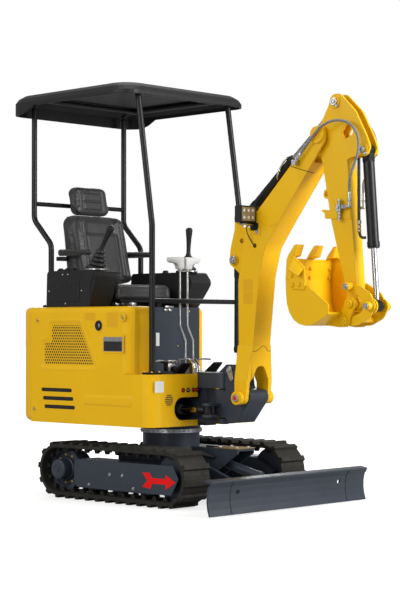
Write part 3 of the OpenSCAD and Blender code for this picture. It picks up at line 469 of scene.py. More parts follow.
# undercarriage: final drives, side plates and arrows
HUB_X, HUB_Z, HUB_R = -0.457, 0.165, 0.084
ARROW = [(-0.13, 0.041), (-0.072, 0.043), (-0.053, 0.015), (0.054, 0.016), (0.054, 0.038), (0.132, 0.0),
    (0.054, -0.044), (0.054, -0.015), (-0.049, -0.017), (-0.066, -0.046), (-0.13, -0.038), (-0.09, 0.0)]
ARROW_X, ARROW_Z = 0.389, 0.148
hub = [math.radians(20 + 40 * i) for i in range(9)]
both(bolts, "drive_bolts_", [(HUB_X + HUB_R * math.cos(a), 0.411, HUB_Z + HUB_R * math.sin(a))
    for a in hub], "undercarriage", GOLD, 0.006, 0.006)
for side, word in SIDES:
    out = Vector((0, side, 0))
    face = (HUB_X, side * 0.48, HUB_Z)
    turned("drive_cover_" + word, [(face, out, [(0, 0), (0.0605, -0.003), (0.0608, 0.001), (0.057, 0.008),
        (0.05, 0.011), (0.03, 0.012), (0.028, 0.009), (0.013, 0.009), (0.012, 0.014), (0, 0.014)], 40),
        (face, out, [(0.0612, -0.066), (0.069, -0.066), (0.067, -0.058), (0.0612, -0.054)], 40),
        ((HUB_X, side * 0.408, HUB_Z), out, [(0.099, 0), (0.1, 0.002), (0.096, 0.004), (0.073, 0.004),
        (0.071, 0)], 48)], "undercarriage", SLATE)
    bm = bmesh.new()
    m = wall(side * 0.482, side)
    bridge(bm, [[bm.verts.new(m @ Vector((ARROW_X + x, ARROW_Z + z, d))) for x, z in ARROW]
        for d in (0, 0.0012)], last=True)
    piece("arrow_" + word, bm, "undercarriage", RED, 30)
side_plates("frame_face_", rounded_outline([(-0.306, 0.082), (-0.29, 0.072), (0.486, 0.074), (0.543, 0.166),
    (0.5, 0.238), (-0.282, 0.234), (-0.306, 0.216)], 0.01), 0.4795, 0.0025, "undercarriage", SLATE, 0.0008)
both(bolts, "frame_bolts_", [(x, 0.4822, z) for x, z in ((-0.012, 0.16), (0.093, 0.16), (-0.189, 0.093),
    (0.183, 0.093))], "undercarriage", ZINC, 0.007, 0.006)

# hoses over the elbow, from the boom to the arm
HOSE_R = 0.007
HOSE_ROUTE = [(1.076, 0.096, 1.923), (1.114, 0.096, 1.962), (1.152, 0.096, 2.001), (1.196, 0.096, 2.044),
    (1.24, 0.094, 2.077), (1.3, 0.088, 2.099), (1.364, 0.082, 2.099), (1.424, 0.078, 2.075),
    (1.463, 0.075, 2.026), (1.477, 0.074, 1.973), (1.472, 0.073, 1.923), (1.444, 0.07, 1.862),
    (1.416, 0.065, 1.81), (1.402, 0.06, 1.766), (1.402, 0.06, 1.727), (1.402, 0.06, 1.688)]
PIPE_Y, PIPE_Z, BLOCK_X = 0.06, 1.64, 1.333
BAND = rounded_outline([(1.214, 1.63), (1.219, 1.584), (1.398, 1.574), (1.392, 1.622)], 0.004)
HOOK = rounded_outline([(1.262, 1.628), (1.206, 1.634), (1.19, 1.628), (1.206, 1.62), (1.226, 1.612),
    (1.236, 1.592), (1.262, 1.59)], 0.006)
for side, word in SIDES:
    points = smooth_path([at(x, side * y, z) for x, y, z in HOSE_ROUTE], 4)
    bm = bmesh.new()
    sweep(bm, points, HOSE_R, 14)
    hose = piece("elbow_hose_" + word, bm, None, HOSE_GREY)
    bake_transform(hose)
    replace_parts(hose, "hose_" + word)
    bm = bmesh.new()
    start = (points[1] - points[0]).normalized()
    lathe(bm, frame_on(points[0] - start * 0.004, start), [(0, 0), (0.0096, 0), (0.0096, 0.012),
        (0.0088, 0.013), (0.0088, 0.018), (0.0096, 0.019), (0.0096, 0.03), (0.008, 0.033), (0.0071, 0.033)],
        20)
    nut(bm, points[0] - start * 0.02, start, 0.0125, 0.016)
    nut(bm, points[0] - start * 0.036, start, 0.0135, 0.01)
    piece("hose_sleeve_boom_" + word, bm, "boom", ZINC, 30)
    bm = bmesh.new()
    lathe(bm, frame_on(points[-1] + TOP * 0.03, -TOP),
          [(0.0071, 0), (0.008, 0), (0.0096, 0.003), (0.0096, 0.014), (0.0088, 0.015), (0.0088, 0.02),
           (0.0096, 0.021), (0.0096, 0.034), (0, 0.034)], 20)
    nut(bm, points[-1] - TOP * 0.012, TOP, 0.0125, 0.014)
    for x, r, h in ((0.026, 0.0125, 0.016), (0.042, 0.0115, 0.01)):
        nut(bm, at(BLOCK_X + x, side * PIPE_Y, PIPE_Z), FRONT, r, h)
    for z, r, h in ((0.034, 0.0125, 0.014), (0.022, 0.0115, 0.008), (-0.034, 0.0125, 0.014),
            (-0.052, 0.0115, 0.012), (-0.068, 0.0105, 0.01)):
        nut(bm, at(BLOCK_X, side * PIPE_Y, PIPE_Z + z), TOP, r, h)
    nut(bm, at(BLOCK_X, side * 0.074, PIPE_Z), Vector((0, side, 0)), 0.01, 0.01)
    piece("hose_sleeve_arm_" + word, bm, "arm", ZINC, 30)
    bm = bmesh.new()
    prism(bm, BAND, wall(side * 0.0375, side), 0.005, 0.0015)
    prism(bm, HOOK, wall(side * 0.03, side), 0.012, 0.001)
    piece("arm_clamp_" + word, bm, "arm", YELLOW, 30)

# pipes on the cylinders
LINE_Y = -0.046
tubes("barrel_line_wrap", [[(1.456, LINE_Y, z) for z in (1.895, 1.8, 1.7, 1.6, 1.56)]], 0.0095,
      "bucket_cylinder_barrel", SPIRAL, 14, 40, (95, 0.0035))
tubes("barrel_line", [[(1.458, LINE_Y, 1.566), (1.458, LINE_Y, 1.53), (1.459, -0.045, 1.5),
    (1.466, -0.043, 1.479), (1.48, -0.038, 1.472), (1.492, -0.03, 1.474)]], 0.0075,
    "bucket_cylinder_barrel", HOSE_BLACK)
bm = bmesh.new()
for z, r, h in ((1.555, 0.0115, 0.02), (1.53, 0.0105, 0.016), (1.51, 0.0115, 0.01)):
    nut(bm, at(1.458, LINE_Y, z), TOP, r, h)
piece("barrel_line_nuts", bm, "bucket_cylinder_barrel", ZINC, 30)
bm = bmesh.new()
pipe = [at(0.952, -0.01, 1.946), at(0.934, -0.03, 1.932), at(0.905, -0.034, 1.9), at(0.884, -0.034, 1.868),
        at(0.868, -0.033, 1.838), at(0.858, -0.022, 1.822)]
sweep(bm, smooth_path(pipe), 0.0055)
nut(bm, pipe[3], pipe[4] - pipe[3], 0.0095, 0.014)
piece("arm_barrel_pipe", bm, "arm_cylinder_barrel", ZINC)

# pin ends
both(caps, "boom_pins_", [(0.552, 0.054, 1.381), (0.591, 0.054, 1.612)], "boom", ZINC, 0.024, 0.009)
both(caps, "foot_pin_", [(0.651, 0.143, 0.605)], "boom", ZINC, 0.021, 0.006)
both(studs, "foot_cap_", [(0.651, 0.1475, 0.605)], "boom", RED, 0.01, 0.008)
both(studs, "elbow_cap_", [(1.192, 0.086, 2.037)], "boom", RED, 0.008, 0.01)
both(caps, "arm_pins_", [(1.288, 0.046, 2.209)], "arm", ZINC, 0.022, 0.01)
both(caps, "bucket_cylinder_pin_", [(1.481, 0.052, 1.938)], "arm", ZINC, 0.019, 0.008)
both(bolts, "arm_pin_bolts_", [(1.306, 0.046, 2.186), (1.5, 0.046, 1.916)], "arm", ZINC, 0.0065, 0.008)
for side, word in SIDES:
    turned("rocker_bosses_" + word, [((x, side * foot, z), Vector((0, side, 0)),
        [(0.0235, 0), (0.0235, 0.006), (0.0215, 0.009), (0.0215, long - 0.002), (0.0195, long),
        (0.015, long)], 32) for x, z, foot, long in ((1.4, 1.215, 0.051, 0.041),
        (1.54, 1.11, 0.064, 0.03))], "rocker", YELLOW)
both(caps, "rocker_pins_", [(1.4, 0.0915, 1.215), (1.54, 0.0935, 1.11)], "rocker", STEEL, 0.0165, 0.007)
both(caps, "bucket_pins_", [(1.418, 0.083, 1.124), (1.385, 0.085, 1.033)], "bucket", YELLOW, 0.022, 0.008)
both(caps, "blade_pins_", [(0.36, 0.146, 0.19)], "blade", SLATE, 0.024, 0.008)
studs("arm_head_caps", [(1.481, -0.02, 1.97)], (0.6, -0.3, 0.7), "bucket_cylinder_barrel", RED, 0.006,
    0.008)
studs("swing_cap", [(0.43, 0, 0.747)], TOP, "swing_bracket", RED, 0.009, 0.012)

# grille: a perforated sheet in a pressed recess
GRILLE = [(-0.64, 0.757), (-0.136, 0.757), (-0.292, 1.037), (-0.575, 1.037), (-0.575, 0.93), (-0.64, 0.93)]
MESH_PITCH, MESH_R, MESH_Y = 0.0185, 0.0062, -0.4528
HOLE_ROWS = ((0.0, MESH_R + 0.0006), (0.0006, MESH_R), (0.0022, MESH_R))
RIM_ROWS = ((-0.012, -0.4602), (-0.006, -0.4622), (0.0, -0.4618), (0.006, -0.4585), (0.014, -0.454),
    (0.019, -0.4526), (0.024, -0.4526))


def shrink(outline, distance):
    """The closed outline moved inwards."""
    count = len(outline)
    made = []
    for i in range(count):
        a, b, c = (Vector(outline[(i + k) % count]) for k in (-1, 0, 1))
        u, v = (b - a).normalized(), (c - b).normalized()
        nu, nv = Vector((-u.y, u.x)), Vector((-v.y, v.x))
        made.append(b + (nu + nv) * distance / (1 + nu.dot(nv)))
    return made


def inside(x, z, outline):
    hit = False
    for a, b in zip(outline, outline[1:] + outline[:1]):
        if (a[1] > z) != (b[1] > z) and x < (b[0] - a[0]) * (z - a[1]) / (b[1] - a[1]) + a[0]:
            hit = not hit
    return hit


def mesh_sheet():
    """Hexagonal cells with a round hole each, clipped to whole cells, on a plain rim."""
    bm = bmesh.new()
    field, sheet = shrink(GRILLE, 0.017), shrink(GRILLE, -0.01)

    def ring(x, z, depth, r, first, step):
        turns = [math.radians(a) for a in range(first, 360 + first, step)]
        return [bm.verts.new(at(x + r * math.cos(a), MESH_Y + depth, z + r * math.sin(a))) for a in turns]

    for j in range(-2, 24):
        for i in range(-2, 34):
            x = GRILLE[0][0] + MESH_PITCH * (i + 0.5 * (j % 2))
            z = GRILLE[0][1] + MESH_PITCH * math.sqrt(3) / 2 * j
            if not inside(x, z, sheet):
                continue
            outer = ring(x, z, 0, MESH_PITCH / math.sqrt(3), 30, 60)
            if not inside(x, z, field):
                bm.faces.new(outer)
                continue
            rings = [ring(x, z, depth, r, 0, 30) for depth, r in HOLE_ROWS]
            hole = rings[0]
            for k in range(6):
                a, b = outer[k], outer[(k + 1) % 6]
                p, q, s = (hole[(2 * k + n) % 12] for n in (1, 2, 3))
                for corners in ((a, p, q), (a, q, b), (b, q, s)):
                    bm.faces.new(corners)
            bridge(bm, rings)
    return bm


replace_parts(piece("grille_mesh", mesh_sheet(), "upper", YELLOW, 30), "side_grille")
bm = bmesh.new()
bridge(bm, [[bm.verts.new(at(x, y, z)) for x, z in rounded_outline(shrink(GRILLE, inset),
    0.022 - 0.4 * inset)] for inset, y in RIM_ROWS])
piece("grille_recess", bm, "upper", YELLOW, 60)

# hood side: plates, sunk screws, lock and rib
HOOD_Y, CONSOLE_Y = -0.46, -0.43
# The dark sheet behind the grille is painted shade for the inside of the hood; the name plate field is the
# plate's own dark print.
for name, shape, y, thick, material, chamfer in (("grille_painted_shade", (-0.7, 0.475, -0.1, 1.07, 0.02), -0.447,
        0.004, DARK, 0.0006), ("plate_recess", (-0.098, 0.85, 0.083, 0.956, 0.008), HOOD_Y + 0.0005, 0.0022,
        YELLOW, 0.0015), ("name_plate", (-0.088, 0.861, 0.073, 0.945, 0.003), HOOD_Y - 0.0015, 0.0014, ZINC,
        0.0004), ("name_plate_field", (-0.083, 0.864, 0.068, 0.919, 0.002), HOOD_Y - 0.0027, 0.0006, DARK,
        0.0002), ("amber_label_rear", (-0.25, 1.04, -0.16, 1.084, 0.003), HOOD_Y + 0.0005, 0.0011,
        AMBER_LABEL, 0.0002), ("amber_label_front", (-0.06, 1.0, 0.03, 1.084, 0.003), HOOD_Y + 0.0005,
        0.0011, AMBER_LABEL, 0.0002), ("console_plate", (-0.596, 1.15, -0.33, 1.288, 0.01),
        CONSOLE_Y + 0.0005, 0.003, BLACK_PLASTIC, 0.0016)):
    side_plate(name, oblong(*shape), y, thick, "upper", material, chamfer)
studs("name_plate_rivets", [(x, HOOD_Y - 0.0028, z) for x in (-0.083, 0.068) for z in (0.928, 0.94)], RIGHT,
    "upper", ZINC, 0.0022, 0.0016)
SCREWS = ((-0.675, 1.042), (0.072, 1.056), (-0.703, 0.511))
DISH = [(0.017 * k, h) for k, h in ((1.45, 0.0), (1.35, 0.0016), (1.15, 0.0018), (1.0, 0.0002),
    (0, 0.0002))]
turned("sunk_dishes", [((x, HOOD_Y, z), RIGHT, DISH, 32) for x, z in SCREWS], "upper", YELLOW, 50)
bolts("sunk_screws", [(x, HOOD_Y - 0.0002, z) for x, z in SCREWS], RIGHT, "upper", GOLD, 0.009, 0.007)
LOCK = (-0.13, HOOD_Y, 1.009)
turned("lock_ring", [(LOCK, RIGHT, [(0.04, 0.0), (0.038, 0.003), (0.033, 0.0035), (0.03, 0.001)], 36)],
    "upper", YELLOW, 50)
turned("lock_face", [(LOCK, RIGHT, [(0.0305, 0.001), (0.029, 0.004), (0.026, 0.0045), (0.024, 0.002),
    (0.015, 0.002), (0.014, 0.005), (0, 0.005)], 36)], "upper", BLACK_PLASTIC)
bm = bmesh.new()
block(bm, at(-0.1265, HOOD_Y - 0.0075, 0.998), at(-0.1185, HOOD_Y - 0.0035, 1.02), 0.0012, 2)
lathe(bm, frame_on(at(-0.1225, HOOD_Y - 0.0035, 1.009), RIGHT), [(0.008, 0), (0.0075, 0.002), (0, 0.002)],
    20)
piece("lock_key", bm, "upper", ZINC)
bm = bmesh.new()
rib = oblong(-0.262, 0.547, 0.15, 0.61, 0.02)
bridge(bm, [[bm.verts.new(at(x, y, z)) for x, z in drawn_in(rib, (-0.056, 0.5785), (0.206, 0.0315), pull)]
    for pull, y in ((0.0, -0.4598), (0.004, -0.4625), (0.009, -0.465), (0.015, -0.4658))], last=True)
piece("hood_rib", bm, "upper", YELLOW, 60)

# front wall: horn vent, plugs and bolts
FRONT_X, HORN_Y, HORN_Z, SLOT_HALF = 0.29, -0.305, 0.588, 0.003
PLUGS, OPEN_PLUG, PLUG_Z = (-0.192, -0.109, -0.08), -0.153, 0.641
PLUG_RING = [(0.0135, 0), (0.0132, 0.003), (0.0105, 0.0045), (0.009, 0.002), (0, 0.002)]
front_label("front_label", oblong(-0.416, 0.632, -0.346, 0.696, 0.003), FRONT_X)
turned("horn_rim", [((FRONT_X, HORN_Y, HORN_Z), FRONT, [(0.039, 0), (0.038, 0.002), (0.035, 0.002),
    (0.034, 0.0004), (0, 0.0004)], 40)], "upper", YELLOW)
# Dark blocks in the horn vent's slots are painted shade for the openings.
shaded_slots = []
for i in range(6):
    rise = (i - 2.5) * 0.0108
    half = math.sqrt(0.0335 ** 2 - rise ** 2) - 0.002
    shaded_slots.append([(FRONT_X + front, HORN_Y + end * half, HORN_Z + rise + end * SLOT_HALF) for front,
        end in ((0.0002, -1), (0.0012, 1))])
blocks("horn_slot_painted_shade", shaded_slots, 0.0004, 1, "upper", DARK, 30)
turned("plug_rings", [((FRONT_X, y, PLUG_Z), FRONT, PLUG_RING, 24) for y in (*PLUGS, OPEN_PLUG)], "upper",
    BLACK_PLASTIC)
studs("plug_caps", [(FRONT_X + 0.002, y, PLUG_Z) for y in PLUGS], FRONT, "upper", RED, 0.0068, 0.005)
studs("plug_open", [(FRONT_X + 0.002, OPEN_PLUG, PLUG_Z)], FRONT, "upper", ZINC, 0.005, 0.004)
bolts("deck_bolts", [(x, y, 0.745) for x in (0.192, 0.25) for y in (-0.401, -0.343, 0.343, 0.401)], TOP,
    "upper", GOLD, 0.006, 0.006)
bolts("rear_post_bolts", [(x, y, 1.132) for x in (-0.686, -0.644) for y in (-0.394, -0.35, 0.35, 0.394)],
    TOP, "upper", ZINC, 0.005, 0.005)

# slate panel below the seat
PANEL_X = -0.13
studs("panel_plugs", [(PANEL_X, y, z) for y, z in ((0.282, 1.097), (0.184, 0.886), (-0.19, 1.08),
    (-0.19, 0.78), (0.33, 0.78))], FRONT, "upper", GOLD, 0.005, 0.004)
blocks("seat_latch", [((PANEL_X - 0.001, y0, z0), (PANEL_X + deep, y1, z1)) for deep, y0, y1, z0,
    z1 in ((0.01, 0.064, 0.092, 1.096, 1.11), (0.01, 0.1, 0.128, 1.096, 1.11),
    (0.016, 0.066, 0.134, 1.116, 1.128))], 0.002, 2, "upper", ZINC)
front_label("panel_label", oblong(0.0, 0.888, 0.028, 0.967, 0.002), PANEL_X)

# floor: travel lever guard, lock valve and rods
bm = bmesh.new()
block(bm, at(0.078, -0.142, 0.745), at(0.118, -0.078, 0.795), 0.004, 2)
block(bm, at(0.07, -0.156, 0.79), at(0.126, -0.048, 0.81), 0.004, 2)
for y in (-0.15, -0.12, -0.09, -0.056):
    nut(bm, at(0.122, y, 0.8), FRONT, 0.008, 0.016)
sweep(bm, smooth_path([at(0.098, -0.15, 0.8), at(0.096, -0.18, 0.806), at(0.08, -0.215, 0.798),
    at(0.06, -0.24, 0.77)]), 0.006)
piece("lock_valve", bm, "upper", ZINC, 35)
turned("lock_knob", [((0.118, -0.098, 0.756), FRONT, [(0, 0), (0.018, 0), (0.02, 0.006), (0.02, 0.018),
    (0.015, 0.026), (0, 0.028)], 28)], "upper", BLACK_PLASTIC)
tubes("floor_rods", [[(0.185, -0.13, 0.812), (0.185, -0.06, 0.815), (0.19, -0.03, 0.812),
    (0.21, -0.012, 0.795), (0.222, -0.01, 0.765), (0.226, -0.012, 0.735)],
    [(0.185, 0.14, 0.812), (0.185, 0.08, 0.815), (0.19, 0.04, 0.812), (0.212, 0.012, 0.795),
    (0.226, 0.004, 0.765), (0.232, 0.002, 0.735)]], 0.0055, "upper", CHROME)
bm = bmesh.new()
for y in (-0.036, 0.02):
    bend = smooth_path([at(0.205, y, 0.735), at(0.206, y, 0.765), at(0.196, y, 0.792), at(0.18, y, 0.806)])
    for a, b in zip(bend, bend[1:]):
        turn = (b - a).normalized().to_track_quat("Z", "Y").to_matrix().to_4x4()
        block(bm, (-0.0035, -0.011, -0.002), (0.0035, 0.011, (b - a).length + 0.002), 0.001, 1,
              Matrix.Translation(a) @ turn)
piece("floor_levers", bm, "upper", GOLD)

# travel lever handles
HANDLE = [(0.006, 1.338), (0.056, 1.338), (0.059, 1.358), (0.074, 1.373), (0.11, 1.377), (0.127, 1.384),
    (0.131, 1.397), (0.124, 1.408), (0.062, 1.411), (0.008, 1.411)]
HANDLE_ROWS = ((0.0865, 0.006), (0.0885, 0.0025), (0.0925, 0.0), (0.1135, 0.0), (0.1175, 0.0025),
    (0.1195, 0.006))
for side, word in SIDES:
    outline = rounded_outline([(side * y, z) for y, z in HANDLE], 0.008, 4)
    bm = bmesh.new()
    bridge(bm, [[bm.verts.new(at(x, y, z)) for y, z in drawn_in(outline, (side * 0.055, 1.385),
        (0.065, 0.028), pull)] for x, pull in HANDLE_ROWS], True, True)
    piece("lever_handle_" + word, bm, "upper", PALE, 60)
    turned("lever_collar_" + word, [((0.103, side * 0.031, 1.325), TOP,
        [(0.0062, 0), (0.011, 0), (0.012, 0.003), (0.012, 0.014), (0.009, 0.016), (0, 0.016)], 24),
        ((0.15, side * 0.031, 0.77), TOP, [(0.0062, 0.02), (0.012, 0.016), (0.016, 0.0), (0.018, -0.006),
        (0.022, -0.006), (0.022, -0.01), (0, -0.01)], 24)], "upper", ZINC)


# joysticks: bellows, grip and ring
def joystick(word, foot, neck, tip, base_r, folds):
    """Gives back the grip."""
    foot, neck, tip = Vector(foot), Vector(neck), Vector(tip)
    axis, height = (neck - foot).normalized(), (neck - foot).length
    lip = 0.004
    profile = [(base_r * 1.04, 0.0), (base_r * 1.04, lip)]
    for i in range(folds):
        wide = base_r + (0.021 - base_r) * i / folds
        slim = base_r * 0.8 + (0.014 - base_r * 0.8) * (i + 1) / folds
        profile += [(r, lip + height * (i + t) / folds) for r,
            t in ((wide * 0.9, 0.05), (wide, 0.28), (wide * 0.98, 0.46), (slim, 0.92))]
    profile += [(0.0, lip + height)]
    turned("joystick_bellows_" + word, [(foot, axis, profile, 40)], "upper", HOSE_BLACK, 60)
    reach = (tip - neck).length
    profile = [(0, 0), (0.0165, 0), (0.017, 0.006), (0.0135, 0.014), (0.0125, reach * 0.22),
        (0.014, reach * 0.45), (0.0165, reach * 0.66), (0.02, reach * 0.84), (0.0212, reach * 0.93),
        (0.019, reach * 0.985), (0.012, reach + 0.004), (0, reach + 0.006)]
    grip = turned("joystick_grip_" + word, [(neck - axis * 0.004, tip - neck, profile, 32)], "upper",
        BLACK_PLASTIC, 60)
    profile = [(base_r * 1.1, 0), (base_r * 1.16, 0.002), (base_r * 1.16, 0.008), (base_r * 1.08, 0.01),
        (0, 0.01)]
    turned("joystick_ring_" + word, [(foot - TOP * 0.004, TOP, profile, 40)], "upper", ZINC)
    return grip


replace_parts(joystick("right", (-0.3, -0.325, 1.34), (-0.262, -0.325, 1.458), (-0.168, -0.325, 1.592), 0.062,
    5), "joysticks")
joystick("left", (-0.17, 0.312, 1.34), (-0.168, 0.312, 1.44), (-0.16, 0.312, 1.608), 0.05, 3)

# consoles: louvres, screws, fold, switches and seat slide
LOUVRE_Y, FOLD_Y = CONSOLE_Y - 0.0025, CONSOLE_Y - 0.0008
tubes("console_louvres", [[(-0.56 + 0.036 * i, LOUVRE_Y, 1.262), (-0.544 + 0.036 * i, LOUVRE_Y, 1.228)]
    for i in range(6)], 0.0022, "upper", BLACK_METAL, 8, 1)
bolts("console_screws", [(x, CONSOLE_Y - 0.0005, z) for x, z in ((-0.434, 1.312), (-0.481, 1.312),
    (-0.313, 1.215), (-0.604, 1.215), (-0.456, 1.14))], RIGHT, "upper", PALE, 0.0032, 0.003)
tubes("console_fold", [[(-0.208, FOLD_Y, 1.318), (-0.214, FOLD_Y, 1.29), (-0.236, FOLD_Y, 1.25),
    (-0.24, FOLD_Y, 1.13)]], 0.003, "upper", BLACK_PLASTIC, 10)
bm = bmesh.new()
for x in (-0.56, -0.5, -0.44):
    block(bm, at(x - 0.014, -0.395, 1.334), at(x + 0.014, -0.355, 1.345), 0.003, 2)
    block(bm, at(x - 0.01, -0.388, 1.343), at(x + 0.01, -0.362, 1.352), 0.004, 3)
lathe(bm, frame_on(at(-0.545, -0.3, 1.334), TOP), [(0, 0), (0.022, 0), (0.022, 0.004), (0.016, 0.006),
    (0.014, 0.016), (0, 0.017)], 28)
piece("console_switches", bm, "upper", BLACK_PLASTIC)
bm = bmesh.new()
block(bm, at(-0.3, 0.33, 1.333), at(-0.18, 0.41, 1.352), 0.008, 3)
lathe(bm, frame_on(at(-0.4, 0.345, 1.333), TOP), [(0, 0), (0.026, 0), (0.026, 0.005), (0.018, 0.008),
    (0.016, 0.02), (0, 0.021)], 28)
piece("console_monitor", bm, "upper", BLACK_PLASTIC)
bm = bmesh.new()
for x0, x1 in ((-0.366, -0.262), (-0.226, -0.118)):
    block(bm, at(x0, -0.205, 1.124), at(x1, -0.17, 1.146), 0.004, 2)
    for x in (x0 + 0.022, x1 - 0.022):
        nut(bm, at(x, -0.207, 1.136), RIGHT, 0.009, 0.01)
piece("seat_slide", bm, "upper", ZINC)


# rod ends: black heads and eyes
def black_end(node, body, eye, other, flat, reach):
    """Paints the eye of a rod black and puts a collar behind it, up to reach from the pin.

    flat leaves out the axis of the eye's pin."""
    bm = bmesh.new()
    lathe(bm, frame_on(eye, other - eye), [(0, 0.018), (0.019, 0.018), (0.0215, 0.022),
        (0.0215, reach - 0.004), (0.0175, reach), (0, reach)], 28)
    piece(node + "_head", bm, body, BLACK_METAL)
    thing = nodes[node]
    thing.data.materials.append(BLACK_METAL)
    for face in thing.data.polygons:
        if ((thing.matrix_world @ face.center - eye) * flat).length < 0.034:
            face.material_index = 1


black_end("bucket_rod", "bucket_cylinder_rod", at(1.54, 0, 1.11), at(1.481, 0, 1.938), Vector((1, 0, 1)),
    0.034)
black_end("swing_rod", "swing_cylinder_rod", at(0.445, -0.15, 0.53), at(-0.15, -0.19, 0.53),
    Vector((1, 1, 0)), 0.074)

# boom: seams, blank labels, pin keepers and lamp
BOOM_Y = 0.07
for side, word in SIDES:
    y = side * (BOOM_Y + 0.0002)
    tubes("boom_seam_" + word, [[(0.998, y, 1.88), (1.021, y, 1.874), (1.075, y, 1.857), (1.133, y, 1.841),
        (1.165, y, 1.832)]], 0.0022, "boom", SEAM, 8)
    tubes("boom_weld_" + word, [[(0.7, y, 1.586), (0.76, y, 1.602), (0.83, y, 1.562), (0.905, y, 1.572)]],
        0.0022, "boom", YELLOW, 8)
for name, z0, z1 in (("upper", 1.204, 1.268), ("lower", 1.132, 1.2)):
    side_plates("boom_label_%s_" % name, oblong(0.646, z0, 0.716, z1, 0.003), BOOM_Y - 0.0005, 0.0011,
        "boom", AMBER_LABEL, 0.0002)
tubes("foot_seam", [[(0.72 + (z - 0.866) * 0.1125, y, z) for y,
    z in ((-0.075, 0.866), (-0.048, 0.866), (-0.02, 0.88), (0.004, 0.894), (0.026, 0.891), (0.051, 0.868),
    (0.075, 0.866))]], 0.0016, "boom", SEAM, 8)
side_plates("rod_pin_keeper_", rounded_outline([(0.526, 0.764), (0.545, 0.784), (0.567, 0.772),
    (0.583, 0.712), (0.573, 0.694), (0.556, 0.7)], 0.012), 0.0755, 0.0115, "swing_bracket", ZINC, 0.002)
both(caps, "rod_pin_", [(0.548, 0.0868, 0.757)], "swing_bracket", STEEL, 0.015, 0.006)
both(bolts, "rod_pin_bolt_", [(0.569, 0.0868, 0.708)], "swing_bracket", ZINC, 0.007, 0.006)
side_plate("lamp_bracket", rounded_outline([(0.7, 1.556), (0.776, 1.553), (0.776, 1.512), (0.738, 1.518),
    (0.734, 1.54), (0.7, 1.54)], 0.004), -BOOM_Y + 0.001, 0.005, "boom", YELLOW, 0.001)
bolts("lamp_bracket_bolt", [(0.752, -BOOM_Y - 0.004, 1.532)], RIGHT, "boom", ZINC, 0.008, 0.008)
LAMP_X0, LAMP_X1 = 0.703, 0.745
LAMP_Y0, LAMP_Y1 = -0.2, -0.076
LAMP_Z0, LAMP_Z1 = 1.582, 1.674
RIM = 0.008
bm = bmesh.new()
for y0, z0, y1, z1 in ((LAMP_Y0, LAMP_Z0, LAMP_Y1, LAMP_Z0 + RIM),
        (LAMP_Y0, LAMP_Z1 - RIM, LAMP_Y1, LAMP_Z1), (LAMP_Y0, LAMP_Z0, LAMP_Y0 + RIM, LAMP_Z1),
        (LAMP_Y1 - RIM, LAMP_Z0, LAMP_Y1, LAMP_Z1)):
    block(bm, at(LAMP_X1 - 0.004, y0, z0), at(LAMP_X1 + 0.005, y1, z1), 0.0025, 2)
for i in range(7):
    y = LAMP_Y0 + 0.01 + 0.0172 * i
    block(bm, at(LAMP_X0 - 0.01, y - 0.002, LAMP_Z0 + 0.004),
        at(LAMP_X0 + 0.002, y + 0.002, LAMP_Z1 - 0.004), 0.0008, 1)
piece("lamp_rim", bm, "boom", BLACK_METAL)
blocks("lamp_lens", [((LAMP_X1 - 0.001, LAMP_Y0 + 0.006, LAMP_Z0 + 0.006),
    (LAMP_X1 + 0.003, LAMP_Y1 - 0.006, LAMP_Z1 - 0.006))], 0.001, 1, "boom", LENS, 30)
cups = [(LAMP_Y0 + 0.0275 + 0.0345 * i, LAMP_Z0 + 0.0265 + 0.039 * j) for i in range(3) for j in range(2)]
CUP = [(0.0158, 0.0), (0.0162, 0.0016), (0.015, 0.0018), (0.006, -0.0008)]
turned("lamp_cups", [((LAMP_X1 + 0.003, y, z), FRONT, CUP, 24) for y, z in cups], "boom", LENS, 50)
studs("lamp_leds", [(LAMP_X1 + 0.0024, y, z) for y, z in cups], FRONT, "boom", LED, 0.0085, 0.0045)
bm = bmesh.new()
block(bm, at(0.708, -0.166, 1.566), at(0.74, -0.078, 1.576), 0.003, 2)
nut(bm, at(0.724, -0.14, 1.56), TOP, 0.011, 0.014)
nut(bm, at(0.724, -0.108, 1.56), TOP, 0.009, 0.014)
piece("lamp_foot", bm, "boom", ZINC, 30)
bm = bmesh.new()
sweep(bm, smooth_path([at(0.712, -0.12, 1.584), at(0.706, -0.112, 1.56), at(0.7, -0.098, 1.53),
    at(0.704, -0.084, 1.5), at(0.716, -0.077, 1.474), at(0.728, -0.0735, 1.46), at(0.734, -0.069, 1.454)]),
    0.0028, 10)
lathe(bm, frame_on(at(0.733, -BOOM_Y, 1.455), RIGHT), [(0.012, 0), (0.012, 0.003), (0.008, 0.006),
    (0.003, 0.006)], 20)
piece("lamp_wire", bm, "boom", HOSE_BLACK, 60)

# bucket: side cutters and screws
FIN = (((1.134, 0.196, 1.378), (1.206, 0.196, 1.316), (1.19, 0.228, 1.272), (1.118, 0.228, 1.312)),
       ((1.128, 0.196, 1.371), (1.2, 0.196, 1.309), (1.184, 0.226, 1.266), (1.113, 0.226, 1.306)))
side_plates("side_cutter_", rounded_outline([(1.08, 1.366), (1.132, 1.381), (1.206, 1.316), (1.212, 1.226),
    (1.202, 1.198), (1.118, 1.204), (1.1, 1.254), (1.072, 1.264)], 0.006), 0.1895, 0.01, "bucket", YELLOW,
    0.0025)
for side, word in SIDES:
    bm = bmesh.new()
    rows = [[bm.verts.new(at(x, side * y, z)) for x, y, z in row] for row in FIN]
    for row in rows:
        bm.faces.new(row)
    bridge(bm, rows)
    bmesh.ops.recalc_face_normals(bm, faces=bm.faces)
    bmesh.ops.bevel(bm, geom=bm.edges[:], offset=0.0015, segments=2, profile=0.5, affect="EDGES")
    piece("side_fin_" + word, bm, "bucket", YELLOW, 30)
both(bolts, "side_cutter_bolts_", [(1.118, 0.1995, 1.276), (1.124, 0.1995, 1.226), (1.172, 0.1995, 1.228)],
    "bucket", YELLOW, 0.011, 0.009)
bolts("tooth_bolts", [(x, y, z) for y in (-0.162, 0.0, 0.162) for x,
    z in ((1.0802, 1.322), (1.0752, 1.272))], FRONT, "bucket", YELLOW, 0.01, 0.008)

